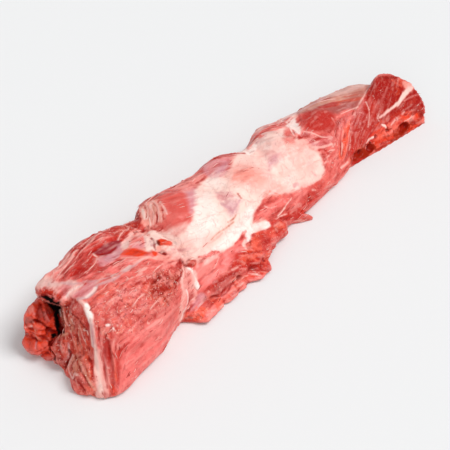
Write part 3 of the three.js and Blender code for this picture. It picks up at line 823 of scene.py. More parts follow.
    ("orangeSoft", [(396, 80), (402, 77), (412, 82), (415, 88), (408, 90), (402, 86)], 2, 0.6),
    ("peach", [(402, 82), (408, 82), (413, 86), (409, 89), (404, 87)], 1.5, 0.8),
    ("leanDark", [(352, 132), (354, 116), (364, 104), (374, 106), (374, 122), (364, 136), (354, 146)], 4, 0.5,
        3),
    ("fatPink", [(397, 103), (400.5, 97), (404, 91), (409, 86), (413, 88), (407, 94.5), (402, 102),
        (392, 109.5), (381, 118), (379, 117), (389, 109)], 1, 1, 0.9),
    ("cream", [(398, 101), (402, 95), (406, 90), (411, 86.5), (412, 89), (406, 95), (401, 101.5),
        (392, 108.5), (385, 113.5), (390, 109)], 0.8, 0.9, 0.7),
    ("leanDeep", [(366, 142), (374, 131), (384, 122), (396, 116), (412, 111), (421, 115), (420, 124),
        (402, 136), (384, 142), (372, 148)], 1.5),
    ("orangeSoft", [(374, 138), (380, 131), (390, 126), (399, 127), (396, 133), (384, 140), (374, 144)], 2.5,
        0.85),
    ("orangeSoft", [(398, 118), (404, 112), (414, 112), (414, 120), (404, 122), (396, 123)], 2.5, 0.6),
    ("brown", [(376, 151), (384, 144), (394, 139), (402, 136), (400, 141), (386, 148)], 1.5, 0.8),
    ("leanPale", [(388, 125), (392, 120), (397, 118), (396, 124), (398, 129), (392, 131)], 1.5, 0.6),
    ("peach", [(408, 119), (412, 114), (415, 116), (411, 120)], 1, 0.6),
    ("brown", [(380, 140), (392, 134), (402, 134), (396, 140), (384, 143)], 1.5, 0.8),
    ("core", [(350, 161), (353, 154), (360, 148), (367, 147), (369, 151), (364, 156), (356, 161)], 1.5),
    ("core", [(349, 166), (356, 158), (366, 152), (380, 146), (380, 152), (366, 161), (352, 168)], 1.5, 0.9),
    ("core", [(378, 148), (392, 139), (404, 133), (416, 124), (425, 118), (425, 125), (412, 134), (396, 144),
        (380, 152)], 1.5, 0.7),
    ("pit", [(351, 162), (354, 153), (360, 149), (368, 148), (372, 152), (364, 159), (355, 165)], 1.2, 0.95,
        1.2),
    ("core", [(366, 148), (369, 143), (374, 141), (377, 144), (375, 149), (370, 151)], 1.5),
    ("pit", [(367, 147), (370, 142.5), (375, 144), (376, 149), (370, 151)], 1, 0.95, 1.2),
    ("core", [(393, 134), (397, 129), (401, 124), (406, 122), (414, 124), (412, 129), (404, 133), (398, 137)],
        1.5),
    ("pit", [(398, 134), (400, 126), (403, 122.5), (408, 123), (411, 127), (406, 132), (401, 136)], 1, 1,
        1.2),
    ("leanDark", [(384, 118), (387, 114), (400, 109), (412, 105), (420, 106), (420, 110), (404, 111),
        (392, 117)], 1.5, 0.9),
    ("brownDark", [(386, 118), (390, 114), (400, 110), (399, 113), (392, 117)], 1.5, 0.6),
    ("orange", [(415, 114), (419, 113), (420, 121), (415, 122)], 1.2, 0.8),
    # pale specks on the near slope: fat crumbs, with painted glints among them
    ("fat", [(105, 325), (108, 323.5), (111, 325), (108, 326.5)], 0.6, 0.9, 1.4, 0.5),
    ("fat", [(112, 328), (114, 327), (115, 330), (113, 331)], 0.6, 0.8, 1.4, 0.5),
    ("cream", [(117, 324), (118.5, 325), (118, 327), (116, 326)], 0.6, 0.7, 1.4, 0.4),
    ("crumb", [(116, 332), (119, 331.5), (120, 333), (117, 334)], 0.6, 0.7, 1.4, 0.4),
    ("crumb", [(103, 331), (106, 331), (107, 332.5), (104, 333)], 0.6, 0.6, 1.4, 0.4),
    ("crumb", [(122, 318), (124.5, 317), (125, 319), (123, 320)], 0.6, 0.6, 1.4, 0.4),
    # over the fat: the knuckle's knobs and the spots of juice by it
    ("leanPink", [(150, 251), (160, 251), (172, 254), (184, 262), (180, 267), (164, 262), (150, 258)], 2,
        0.9),
    ("leanPale", [(186, 290), (194, 289), (196, 298), (191, 306), (185, 313), (182, 305)], 1.5, 0.9, 1, 1),
    ("peach", [(154, 255), (166, 252), (176, 251), (186, 259), (184, 264), (172, 262), (158, 260)], 3, 0.7,
        3),
    ("cream", [(148, 232), (154, 230), (160, 234), (161, 239), (155, 242), (151, 238)], 1.2, 1, 0.8, 0.4),
    ("cream", [(160, 236), (172, 237), (178, 242), (174, 250), (166, 250), (163, 244)], 3, 0.9, 2),
    ("fatPink", [(162, 246), (171, 243), (182, 254), (187, 263), (180, 264), (168, 256)], 2, 0.6, 2, 1.2),
    ("peach", [(156, 247), (160, 245.5), (166, 246), (167, 249), (163, 251.5), (157, 251)], 0.8, 1, 0.4, 0.6),
    ("cream", [(161, 247), (164, 246.5), (165.5, 249), (162, 250)], 0.8, 0.5, 0.3),
    ("orange", [(157, 241), (160, 239.5), (165, 239.5), (169, 242.5), (171, 245), (167, 247), (162, 246.5),
        (158, 245.5)], 0.7, 1, 0.4, 0.3),
    ("coreDark", [(156.5, 242), (158.5, 240.8), (160.2, 242), (160, 245), (157.5, 245)], 0.7, 0.9, 0.3),
    ("orange", [(151.5, 251), (154, 250.5), (157.5, 253), (156, 256.5), (152.5, 255)], 0.7, 1, 0.4),
    ("coreDark", [(158, 252.5), (162, 251.5), (166, 253), (167, 255), (162, 254.5)], 0.7, 0.9, 0.3, -0.5),
]

for entry in areas:
    patch(*entry)
print(f"areas: {len(areas)}")

# Lines along pixels of the photo: colour, knots, half width in mm, and what else the stroke call takes.
lines = [
    # the ridge of pale fat along the block's end
    ("fatPink", [(78, 299, 1.0), (85, 305, 2.0), (89, 314, 2.4), (92, 324, 1.7), (94, 340, 1.6),
        (97, 358, 2.8), (100, 376, 3.6), (102, 397, 4.4)], 2, dict(raised=0.6, soft=1.1, opacity=0.9,
        wander=1.2)),
    ("fat", [(86, 304, 0.9), (88.5, 310, 1.8), (90, 317, 1.5), (91.5, 326, 0.8)], 2, dict(wander=1)),
    ("fatPink", [(95, 344, 0.7), (96, 356, 1.1), (97.5, 368, 1.1), (99, 382, 0.9)], 1, dict(opacity=0.8)),
    ("grey", [(91, 320, 1), (92, 332, 2), (93, 346, 1.4)], 1.2, {}),
    ("lilac", [(92, 324, 0.5), (93, 334, 0.9), (94, 344, 0.5)], 1, dict(opacity=0.7)),
    # the ridge's pale pink, made paler still as painted light where the ridge faces away from the lamp
    ("leanPale", [(99, 350, 1), (103, 364, 1.8), (106, 380, 2.6), (108, 396, 2.6)], 3, dict(opacity=0.6)),
    ("cream", [(95, 346, 0.7), (97, 362, 1.6), (99, 376, 1.4), (101, 390, 1.8)], 1.5, dict(opacity=0.75)),
    ("silver", [(78, 299, 1), (86, 297, 1.8), (92, 293, 1.8), (96, 287, 1.2)], 1.9, dict(raised=-0.3)),
    ("silver", [(97, 285, 1), (106, 282, 1.6), (114, 279, 1.4), (120, 275, 0.8)], 1.9, dict(opacity=0.8)),
    ("silver", [(121, 274, 0.8), (128, 269, 1.3), (136, 264, 0.9), (143, 259, 0.5)], 1.9, dict(opacity=0.8)),
    ("fat", [(86, 297), (92, 292), (95, 288)], 1.2, dict(opacity=0.7)),
    ("silver", [(62, 283, 1), (72, 284, 1.4), (82, 283, 0.8)], 1.3, dict(opacity=0.7)),
    ("silver", [(84, 281, 0.8), (92, 281, 1.2), (102, 279, 1), (112, 276, 0.6)], 1.3, dict(opacity=0.7)),
    ("fat", [(66, 297), (70, 292), (76, 288), (82, 285)], 1, dict(opacity=0.6)),
    ("grey", [(112, 276), (120, 272), (130, 266)], 1, dict(opacity=0.8)),
    ("fatPink", [(134, 263), (142, 259), (150, 257)], 1.2, dict(opacity=0.6)),
    # dark stripes down the near slope
    ("leanDark", [(104, 328, 1), (106, 342, 2.4), (109, 356, 3), (112, 372, 2.8), (113, 388, 1.4)], 3,
        dict(raised=-0.7, opacity=0.75)),
    ("brownDark", [(108, 340, 0.5), (110, 354, 0.8), (113, 370, 0.7)], 1, dict(raised=-0.5, opacity=0.5)),
    ("leanDark", [(100, 338, 0.6), (102, 352, 1.3), (105, 370, 1.3), (107, 388, 0.7)], 1, dict(raised=-0.4,
        opacity=0.7)),
    ("leanDeep", [(110, 334, 0.8), (116, 350, 1.8), (118, 368, 1.6), (117, 386, 0.8)], 1, dict(opacity=0.55)),
    ("leanDeep", [(115, 350, 0.6), (117, 364, 1.1), (118, 380, 0.8)], 1, dict(raised=-0.4, opacity=0.6)),
    ("leanDark", [(98, 326, 0.7), (99, 336, 1), (98, 346, 0.5)], 1, dict(raised=-0.6, opacity=0.7)),
    ("purple", [(101, 346, 0.4), (104, 356, 0.9), (106, 368, 0.5)], 1, dict(raised=-0.5, opacity=0.5)),
    ("leanPale", [(101, 338), (103, 352), (106, 366), (107, 384)], 0.7, dict(opacity=0.6, raised=0.4)),
    ("orangeSoft", [(112, 346), (114, 360), (116, 380)], 0.8, dict(opacity=0.6, raised=0.4)),
    ("orange", [(111, 386, 1.5), (114, 392, 2.5), (117, 396, 1)], 2, dict(opacity=0.55)),
    ("leanDeep", [(120, 350), (119, 362), (120, 368)], 0.9, dict(opacity=0.6)),
    # a painted glint
    ("cream", [(84, 330), (87, 331), (88, 334)], 0.5, dict(raised=0.3)),
    ("leanDeep", [(122, 350), (130, 342), (136, 334), (144, 328)], 0.8, dict(opacity=0.6, raised=-0.4)),
    ("leanPale", [(128, 356), (138, 346), (150, 336), (160, 326)], 1.0, dict(opacity=0.4, raised=0.3)),
    ("leanPale", [(126, 368), (138, 358), (150, 348), (162, 338)], 0.9, dict(opacity=0.4, raised=0.3)),
    # the end of the block inside the ridge
    ("brownDark", [(68, 311), (74, 315), (80, 320), (86, 330)], 0.7, dict(raised=-0.8)),
    ("brownDark", [(66, 308), (67, 318), (70, 328), (72, 338)], 0.6, dict(opacity=0.8, raised=-0.7)),
    ("brownDark", [(73, 322), (76, 334), (81, 346), (85, 360)], 0.6, dict(opacity=0.8, raised=-0.7)),
    ("brownDark", [(84, 336), (87, 348), (90, 362)], 0.5, dict(opacity=0.7, raised=-0.6)),
    ("brownDark", [(76, 356), (79, 366), (84, 376), (90, 386)], 0.6, dict(opacity=0.8, raised=-0.7)),
    ("brownDark", [(69, 376), (76, 382), (84, 390)], 0.5, dict(opacity=0.6, raised=-0.5)),
    ("fatPink", [(64, 312), (65, 320), (68, 326)], 0.45, dict(opacity=0.8, raised=0.3)),
    ("fatPink", [(72, 319), (74, 324)], 0.5, dict(opacity=0.8, raised=0.3)),
    ("fatPink", [(80, 326), (82, 334), (86, 344)], 0.4, dict(opacity=0.7, raised=0.3)),
    # a painted glint
    ("cream", [(60, 310), (61, 316)], 0.4, dict(opacity=0.8, raised=0.3)),
    ("brownDark", [(77, 336), (78, 345)], 0.8, dict(opacity=0.9, raised=-0.6)),
    ("beige", [(63, 306), (63, 316), (65, 326)], 0.8, dict(opacity=0.8, raised=0.4)),
    ("beige", [(63, 317), (66, 319), (65, 322)], 0.6, dict(opacity=0.6)),
    ("beige", [(79, 324), (80, 340), (83, 354), (88, 366), (90, 376)], 0.7, dict(opacity=0.7, raised=0.3)),
    ("orangeSoft", [(82, 350), (85, 360), (89, 370)], 0.6, dict(opacity=0.7)),
    ("beige", [(80, 362), (84, 370), (87, 377), (91, 384), (95, 389)], 0.9, dict(raised=0.5)),
    ("fatPink", [(73, 355), (70, 362), (69, 368), (72, 378), (74, 374), (78, 375)], 0.8, dict(raised=0.4)),
    ("silver", [(68, 344), (69, 351), (68, 358)], 0.8, dict(opacity=0.8)),
    # painted shade in a crack of the end, then a painted shadow band between the core and the end
    ("gapShade", [(69, 350), (71, 355), (68, 362), (66, 368)], 0.8, dict(opacity=0.85, raised=-1)),
    ("gapShade", [(50, 343, 1.6), (51.5, 351, 2), (54, 358, 1.6), (58, 364, 0.8)], 1.3, dict(opacity=0.9,
        raised=-1.2)),
    ("beige", [(57, 338), (62, 335), (67, 334)], 0.8, dict(opacity=0.8)),
    ("leanDark", [(89, 348), (91.5, 364), (93, 382)], 0.7, dict(raised=-0.5)),
    # the core
    ("coreDark", [(30, 322), (37, 321), (43, 324), (50, 330), (56, 332)], 0.9, dict(raised=-1.2)),
    ("coreDark", [(41, 302), (43, 312), (45, 320)], 0.7, dict(raised=-0.8)),
    ("coreDark", [(27, 318), (33, 320), (38, 321)], 0.6, dict(opacity=0.9, raised=-0.8)),
    ("coreDark", [(36, 341), (37, 348), (42, 352)], 0.6, dict(opacity=0.8, raised=-0.7)),
    ("orange", [(24, 336, 0.8), (26, 330, 1.3), (30, 325, 1.0)], 1, dict(opacity=0.8, raised=0.5)),
    ("orange", [(38, 300, 0.6), (42, 303, 1.0), (44, 310, 0.8)], 1, dict(opacity=0.8, raised=0.4)),
    ("orangeSoft", [(34, 326), (40, 327), (46, 332)], 0.6, dict(opacity=0.6, raised=0.3)),
    ("coreDark", [(30, 332), (35, 336), (36, 342)], 0.9, dict(opacity=0.8, raised=-0.8)),
    ("coreDark", [(40, 336), (46, 338), (50, 344)], 0.7, dict(opacity=0.8, raised=-0.6)),
    ("beige", [(35, 330), (36, 337), (40, 340)], 0.5, dict(opacity=0.7)),
    ("leanPale", [(33, 309), (34, 314)], 0.7, dict(opacity=0.6)),
    ("leanPale", [(45, 314), (49, 321)], 0.6, dict(opacity=0.5)),
    ("mauve", [(36, 343), (36, 348)], 0.9, dict(opacity=0.5)),
    ("core", [(34, 291), (39, 294), (45, 291), (51, 291), (55, 294), (62, 299)], 1.0, dict(opacity=0.8)),
    ("brownDark", [(36, 294), (41, 295), (46, 293), (52, 295), (60, 300)], 0.7, dict(opacity=0.7)),
    # pale fibres and dark lines of the muscle behind
    ("fatPink", [(52, 277), (60, 266), (68, 256)], 0.5, dict(opacity=0.9, raised=0.3)),
    ("fatPink", [(56, 279), (64, 268), (74, 256)], 0.5, dict(opacity=0.8, raised=0.3)),
    ("fatPink", [(60, 278), (70, 267), (78, 258)], 0.5, dict(opacity=0.8, raised=0.3)),
    ("fatPink", [(62, 263), (70, 254)], 0.5, dict(opacity=0.7)),
    ("leanDark", [(58, 272), (66, 262), (72, 254)], 0.5, dict(opacity=0.8, raised=-0.5)),
    ("leanDark", [(64, 274), (72, 265), (80, 256)], 0.5, dict(opacity=0.7, raised=-0.5)),
    ("leanDark", [(74, 250), (84, 246), (96, 239), (106, 236)], 0.8, dict(opacity=0.8, raised=-0.9)),
    ("leanDark", [(80, 262), (88, 254), (96, 250)], 0.7, dict(opacity=0.7, raised=-0.8)),
    ("leanDark", [(96, 232), (104, 233), (112, 235), (118, 237)], 0.6, dict(opacity=0.7, raised=-0.6)),
    ("leanPale", [(84, 252), (94, 246), (104, 240)], 0.6, dict(opacity=0.6, raised=0.4)),
    ("leanPale", [(72, 244), (84, 238), (96, 233)], 0.6, dict(opacity=0.5, raised=0.4)),
    ("leanPale", [(104, 239), (112, 236), (120, 230)], 0.5, dict(opacity=0.6)),
    ("fatPink", [(118, 240), (121, 234), (126, 229)], 0.6, dict(opacity=0.8)),
    ("fatPink", [(122, 243), (128, 238), (134, 232), (140, 230)], 0.9, dict(opacity=0.9)),
    ("cream", [(93, 254), (97, 257)], 0.6, dict(opacity=0.9)),
    ("fatPink", [(97, 257), (96, 262), (92, 267), (86, 272)], 0.6, dict(opacity=0.7)),
    ("leanPale", [(86, 272), (78, 275), (70, 278)], 0.6, dict(opacity=0.6)),
    ("leanDark", [(97, 260), (95, 265), (88, 271)], 0.5, dict(opacity=0.5, raised=-0.5)),
    ("purple", [(98, 254), (106, 254), (112, 250), (119, 243)], 0.8, dict(raised=-0.8)),
    ("brownDark", [(134, 232), (137, 231)], 0.9, dict(opacity=0.7, raised=-0.5)),
    # the knuckle and the orange streaks
    ("lilac", [(145, 238), (145.5, 243), (145, 248)], 0.4, dict(opacity=0.6, raised=-0.4)),
    ("coreDark", [(156.5, 241), (157.5, 244), (160, 246)], 0.6, dict(opacity=0.8, wander=0.2)),
    ("core", [(163, 246), (168, 246.5), (172, 246)], 0.7, dict(opacity=0.9, wander=0.2)),
    ("core", [(161, 239.5), (166, 240)], 0.5, dict(opacity=0.8, wander=0.2)),
    ("fatPink", [(162, 243), (165, 243.5)], 0.35, dict(opacity=0.7, wander=0.2)),
    ("cream", [(147, 239), (149.5, 243), (149, 249)], 0.9, dict(opacity=0.9, wander=0.4)),
    ("coreDark", [(124, 253), (131, 251), (138, 251.5)], 0.4, dict(opacity=0.35)),
    ("orangeSoft", [(124, 250), (130, 248.5), (136, 249)], 0.8, dict(opacity=0.7)),
    ("brownDark", [(135, 252), (140, 252.5), (147, 254)], 0.5, dict(opacity=0.35, raised=-0.2)),
    ("purple", [(151, 238, 0.5), (153, 240, 0.8), (154.5, 244, 0.9), (154, 248, 0.6)], 1, dict(raised=-0.3,
        opacity=0.85)),
    ("lilac", [(150.5, 241), (151.5, 246)], 0.5, dict(opacity=0.8)),
    ("leanDark", [(154.5, 246), (155.5, 250)], 0.6, dict(opacity=0.8)),
    ("brownDark", [(147, 226), (148, 230), (147.5, 235)], 0.6, dict(opacity=0.6, raised=-0.3)),
    ("peach", [(122, 258), (134, 257.5), (146, 257), (156, 259)], 0.9, dict(opacity=0.7)),
    # the crumbly patch and the ledge
    ("pit", [(152, 284), (156, 281), (160, 277)], 0.8, dict(opacity=0.8, raised=-1.2)),
    ("pit", [(158, 276), (160, 278)], 0.7, dict(opacity=0.8, raised=-1)),
    ("pit", [(167, 283), (170, 288), (168, 290)], 0.7, dict(opacity=0.8, raised=-1)),
    ("pit", [(162, 289), (165, 291)], 0.6, dict(opacity=0.8, raised=-0.8)),
    ("pit", [(164, 297), (167, 302)], 0.6, dict(opacity=0.7, raised=-0.8)),
    # painted shade along the ledge and in the crease under it
    ("leanDark", [(183, 270, 0.8), (180, 277, 1.4), (174, 284, 0.8)], 1, dict(raised=-1)),
    ("brownDark", [(181, 262), (184, 265)], 1.5, dict(opacity=0.8, raised=-0.8)),
    ("fatPink", [(153, 273), (157, 268), (163, 264)], 0.6, dict(opacity=0.7)),
    ("leanPale", [(163, 270), (168, 263), (175, 264)], 1.8, dict(opacity=0.5)),
    ("leanPale", [(110, 301), (117, 296), (123, 289), (131, 282)], 0.6, dict(opacity=0.8, raised=0.4)),
    ("fatPink", [(133, 306), (138, 299), (144, 294)], 0.5, dict(opacity=0.8, raised=0.4)),
    ("fatPink", [(150, 309), (155, 303), (160, 298)], 0.5, dict(opacity=0.7, raised=0.4)),
    ("leanPale", [(120, 312), (127, 304), (134, 296)], 0.5, dict(opacity=0.7)),
    ("leanDark", [(119, 287), (126, 281), (132, 276)], 0.5, dict(opacity=0.7, raised=-0.6)),
    ("leanDark", [(143, 284), (145, 283)], 0.7, dict(opacity=0.9, raised=-0.7)),
    ("leanDeep", [(124, 296), (132, 288), (140, 280), (150, 272)], 0.7, dict(opacity=0.5, raised=-0.5)),
    ("fat", [(186, 268, 0.4), (191, 270, 0.8), (195, 277, 0.5), (197, 284, 0.8)], 0.9, dict(raised=0.5,
        wander=1)),
    ("fatPink", [(186, 268), (183, 274), (182, 282)], 0.7, dict(raised=0.4)),
    ("fat", [(196, 284), (198, 288)], 1.7, dict(raised=0.6, wander=1)),
    ("brownDark", [(191, 289), (193, 285)], 0.5, dict(opacity=0.8)),
    ("fatPink", [(187, 259), (192, 257.5), (198, 260)], 0.6, dict(opacity=0.8)),
    ("brown", [(190, 263), (193, 263)], 2.6, dict(raised=1.6, wander=0.3)),
    ("brownDark", [(186.5, 266), (186.5, 262), (189, 259.5)], 0.6, dict(opacity=0.8, raised=-0.6,
        wander=0.3)),
    ("orangeSoft", [(192, 262), (195, 264)], 0.8, dict(opacity=0.5)),
    ("fat", [(186, 290), (187, 300), (184, 310), (181, 320)], 0.8, dict(opacity=0.7)),
    # fibres across the striped edge
    ("cream", [(142, 209, 0.8), (144, 214, 1.7), (145, 219, 1)], 1, dict(raised=0.3)),
    ("brown", [(143, 205), (146, 209), (147, 212), (146, 218)], 0.5, dict(opacity=0.6, raised=-0.5)),
    ("fatPink", [(146, 204), (148, 208), (149, 212)], 0.5, {}),
    ("cream", [(147.5, 212), (148, 216), (147, 219)], 0.6, dict(raised=0.3)),
    ("leanDeep", [(147.5, 206), (150, 212), (149.5, 218)], 0.4, dict(raised=-0.4)),
    ("cream", [(149.5, 217), (150, 221), (150.5, 225)], 0.7, dict(raised=0.4)),
    ("fatPink", [(150, 203), (151.5, 208), (153, 213), (153.5, 219), (153, 224)], 0.5, dict(raised=0.3)),
    ("brown", [(151, 209), (152.3, 214), (152, 221)], 0.4, dict(opacity=0.6, raised=-0.4)),
    ("beige", [(152, 205), (154, 209), (155, 214)], 0.8, dict(opacity=0.6)),
    ("leanDark", [(150.5, 201), (154, 204), (157, 208), (157, 212)], 0.4, dict(opacity=0.7, raised=-0.5)),
    ("leanDeep", [(156, 212), (157, 217), (156.5, 223)], 0.7, dict(raised=-0.5)),
    ("fatPink", [(153, 201), (156.5, 204.5), (158.5, 209), (159, 215), (158.5, 221)], 0.6, dict(raised=0.4)),
    ("brown", [(158, 202), (160, 207), (160, 213)], 0.4, dict(opacity=0.7, raised=-0.4)),
    ("fatPink", [(159, 211), (161.5, 216), (161.5, 222)], 0.5, dict(opacity=0.8, raised=0.3)),
    ("leanDeep", [(158.5, 201), (161, 206), (163, 212), (163.5, 219)], 0.8, dict(raised=-0.5)),
    ("fatPink", [(160, 202), (163, 206), (165.5, 210), (167, 214)], 0.8, dict(raised=0.3)),
    ("leanDark", [(150, 216), (151, 216)], 0.7, dict(opacity=0.7)),
    ("leanDark", [(151, 228), (153, 229.5), (155, 229)], 0.7, dict(opacity=0.6)),
    # the long middle: rims and lines in the fat
    ("membraneDark", [(154, 199), (170, 189), (186, 181), (202, 173)], 1.0, dict(opacity=0.7)),
    ("leanPale", [(186, 183), (194, 180), (202, 177)], 1.4, dict(opacity=0.7)),
    ("leanDeep", [(206, 164), (216, 158), (230, 154), (244, 153)], 1.6, dict(opacity=0.8)),
    ("grey", [(214, 192), (222, 194), (230, 194), (238, 197)], 0.7, dict(opacity=0.6)),
    ("brown", [(238, 194), (241, 198)], 0.7, dict(opacity=0.7)),
    ("lilac", [(233, 212), (236, 206), (240, 200)], 0.6, dict(opacity=0.7)),
    ("lilac", [(222, 204), (230, 208), (232, 212)], 1.4, dict(opacity=0.5)),
    ("beige", [(228, 222), (233, 219), (236, 215)], 0.6, dict(opacity=0.8, raised=-0.4)),
    ("beige", [(211, 240), (218, 233), (226, 228), (234, 222)], 0.6, dict(opacity=0.8, raised=-0.4)),
    ("peach", [(204, 246), (214, 240), (222, 233)], 0.7, dict(opacity=0.6)),
    ("grey", [(184, 243), (194, 239), (204, 238)], 0.6, dict(opacity=0.7)),
    ("mauve", [(170, 250), (182, 250), (190, 248)], 0.8, dict(opacity=0.5)),
    ("leanPink", [(199, 257, 0.6), (207, 256, 1.3), (213, 253, 1.9), (219, 252, 1)], 1, dict(raised=0.4)),
    ("brown", [(212, 251), (214, 253)], 0.6, dict(opacity=0.9)),
    ("fatPink", [(219, 257), (217, 262), (214, 268)], 0.45, dict(opacity=0.6)),
    ("cream", [(245, 240, 0.9), (243.5, 245, 1), (246, 249, 0.5)], 1, dict(opacity=0.8)),
    ("leanPink", [(246, 231), (241, 238), (236, 244)], 1.0, {}),
    ("orangeSoft", [(270, 192), (275, 193), (280, 195)], 1.0, dict(opacity=0.8)),
    ("beige", [(265, 193), (272, 196), (280, 196)], 0.6, dict(opacity=0.6)),
    ("grey", [(246, 200), (252, 202), (260, 200)], 0.5, dict(opacity=0.6)),
    ("mauve", [(294, 186), (298, 184)], 1.6, dict(opacity=0.6)),
    ("mauve", [(289, 176), (290, 180)], 0.6, dict(opacity=0.6)),
    ("mauve", [(312, 172), (316, 176)], 1.2, dict(opacity=0.5)),
    ("brown", [(239, 149), (242, 151)], 0.8, dict(opacity=0.7)),
    ("membraneDark", [(250, 153), (254, 151)], 0.7, dict(opacity=0.7)),
    ("leanPale", [(256, 134), (266, 128), (276, 124), (286, 121)], 1.0, dict(opacity=0.5)),
    ("grey", [(262, 134), (270, 132), (278, 131)], 0.9, dict(opacity=0.8)),
    ("lilac", [(256, 143), (260, 139), (266, 136)], 0.9, dict(opacity=0.5)),
    ("fat", [(280, 121), (287, 123), (291, 130), (294, 136)], 0.7, dict(opacity=0.7)),
    ("brownDark", [(293, 138), (295, 137)], 0.7, dict(opacity=0.6)),
    # the near lower side
    ("fatPink", [(265, 206), (270, 208), (276, 206)], 0.5, dict(opacity=0.7)),
    ("cream", [(291, 199), (287, 204), (284, 209)], 0.45, dict(opacity=0.7)),
    ("cream", [(285, 208), (281, 213), (278, 216)], 0.5, dict(opacity=0.8)),
    ("fatPink", [(276, 219), (281, 216), (287, 214)], 0.5, dict(opacity=0.8)),
    ("leanPale", [(258, 215), (266, 210), (276, 203)], 0.8, dict(opacity=0.6)),
    ("leanDark", [(300, 207), (306, 203), (312, 200)], 0.8, dict(opacity=0.8, raised=-0.6)),
    ("brownDark", [(309, 195), (308, 200)], 0.6, dict(opacity=0.7)),
    ("fatPink", [(312, 190), (316, 190)], 0.6, dict(opacity=0.7)),
    ("leanPale", [(291, 210), (296, 207), (301, 206)], 0.9, dict(opacity=0.9)),
    ("orange", [(300, 210), (305, 213), (311, 217)], 1.1, dict(opacity=0.7)),
    ("leanDark", [(292, 213), (299, 210), (306, 214), (311, 217)], 0.5, dict(opacity=0.8, raised=-0.5)),
    ("orange", [(247, 252), (250, 251)], 1.5, dict(opacity=0.8)),
    ("brownDark", [(246, 250), (250, 246), (250, 240)], 0.6, dict(opacity=0.8, raised=-0.6)),
    ("leanDark", [(244, 254), (256, 252), (268, 250)], 0.7, dict(opacity=0.6, raised=-0.6)),
    ("orangeSoft", [(252, 258), (260, 262), (266, 262)], 0.8, dict(opacity=0.7, raised=0.4)),
    ("orange", [(260, 266, 1.6), (265, 267, 1.9), (264, 271, 1)], 1, dict(opacity=0.8)),
    ("leanDark", [(222, 296), (228, 291), (232, 284), (238, 277)], 0.7, dict(opacity=0.9, raised=-0.5)),
    ("orangeSoft", [(224, 300), (231, 292), (236, 284), (243, 278)], 0.8, dict(opacity=0.7, raised=0.4)),
    ("orange", [(227, 297), (231, 298)], 1.2, dict(opacity=0.7, raised=0.5)),
    ("leanDark", [(244, 272), (254, 270), (264, 271)], 0.5, dict(opacity=0.6, raised=-0.3)),
    ("leanDark", [(207, 313), (212, 304), (217, 299)], 0.5, dict(opacity=0.6, raised=-0.4)),
    ("leanPale", [(240, 269), (250, 268), (258, 269)], 0.5, dict(opacity=0.7)),
    ("leanDark", [(218, 292), (218, 284), (224, 278), (232, 274)], 0.9, dict(opacity=0.5, raised=-0.5)),
    ("brownDark", [(189, 317), (192, 318)], 1.1, dict(opacity=0.8)),
    ("brownDark", [(198, 314), (202, 318)], 0.7, dict(opacity=0.8)),
    ("leanPale", [(210, 316), (220, 308), (230, 300)], 0.8, dict(opacity=0.6)),
    ("leanDeep", [(226, 262), (234, 256), (240, 250)], 0.8, dict(opacity=0.5)),
    ("fatPink", [(232, 270), (238, 267)], 0.8, dict(opacity=0.6)),
    # the sliced end and what lies above it
    ("brown", [(336, 103), (346, 101), (356, 100)], 0.9, dict(opacity=0.8)),
    ("leanDark", [(318, 107, 0.7), (325, 105.5, 1.5), (332, 104, 1.9), (337, 103, 1.1)], 1, dict(wander=0.2)),
    ("brownDark", [(336, 103.5, 0.5), (343, 102.5, 0.9), (350, 101.5, 0.6)], 1, dict(opacity=0.7,
        wander=0.2)),
    ("grey", [(318, 102), (326, 100), (335, 99)], 0.7, dict(opacity=0.7)),
    ("leanDark", [(353, 164), (366, 158), (380, 150)], 1.6, dict(opacity=0.85)),
    ("core", [(378, 151), (396, 141), (412, 131)], 1.6, dict(opacity=0.85)),
    ("orange", [(408, 131), (417, 125), (423, 120)], 1.4, dict(opacity=0.7)),
    ("membraneDark", [(322, 100), (334, 97), (348, 94), (362, 91)], 0.7, dict(opacity=0.7, raised=-0.3)),
    ("brown", [(344, 97), (354, 95), (364, 94)], 0.8, dict(opacity=0.6)),
    ("cream", [(340, 87), (350, 86), (360, 86)], 0.6, dict(opacity=0.6)),
    ("membraneDark", [(294, 113), (306, 106), (318, 101), (330, 98)], 0.8, dict(opacity=0.7)),
    ("fatPink", [(341, 114), (350, 110), (358, 107)], 0.6, dict(opacity=0.7)),
    ("purple", [(298, 112, 1), (301, 120, 1.2), (302, 128, 0.7)], 1, dict(opacity=0.45)),
    ("fatPink", [(302, 131), (312, 133), (322, 137), (332, 137)], 0.6, dict(opacity=0.8, raised=0.3)),
    ("fatPink", [(312, 147), (322, 147), (332, 144)], 1.2, dict(opacity=0.8)),
    ("leanDeep", [(310, 142), (322, 139), (334, 138)], 0.7, dict(opacity=0.6)),
    ("leanPale", [(332, 118), (336, 126), (334, 136), (330, 142)], 0.8, dict(opacity=0.6)),
    ("leanPale", [(337, 122), (340, 130), (337, 142)], 0.7, dict(opacity=0.6)),
    ("leanPale", [(344, 130), (341, 142), (338, 150)], 0.7, dict(opacity=0.6)),
    ("leanPale", [(351, 126), (349, 136), (349, 146)], 0.5, dict(opacity=0.6)),
    ("leanDeep", [(354, 112), (352, 122), (350, 132)], 1.6, dict(opacity=0.6)),
    ("fatPink", [(341, 168), (346, 164), (348, 162)], 0.9, dict(opacity=0.8)),
    ("leanDeep", [(325, 150), (330, 156), (334, 164)], 0.9, dict(opacity=0.5)),
    ("fatPink", [(377, 76, 0.9), (371, 82, 0.9), (366, 92, 0.8), (361, 101, 0.7), (356, 109, 0.4)], 1,
        dict(opacity=0.85)),
    ("coreDark", [(378, 77), (388, 78), (398, 77)], 0.7, dict(opacity=0.8)),
    ("orangeSoft", [(392, 80), (398, 84), (402, 86)], 1.0, dict(opacity=0.8)),
    ("core", [(396, 88), (399, 91), (397, 94)], 1.3, dict(opacity=0.9)),
    ("fatPink", [(366, 102), (369, 110), (369, 118), (368, 127)], 0.5, dict(opacity=0.9)),
    ("fatPink", [(379, 114), (377, 118), (379, 121)], 0.5, dict(opacity=0.8)),
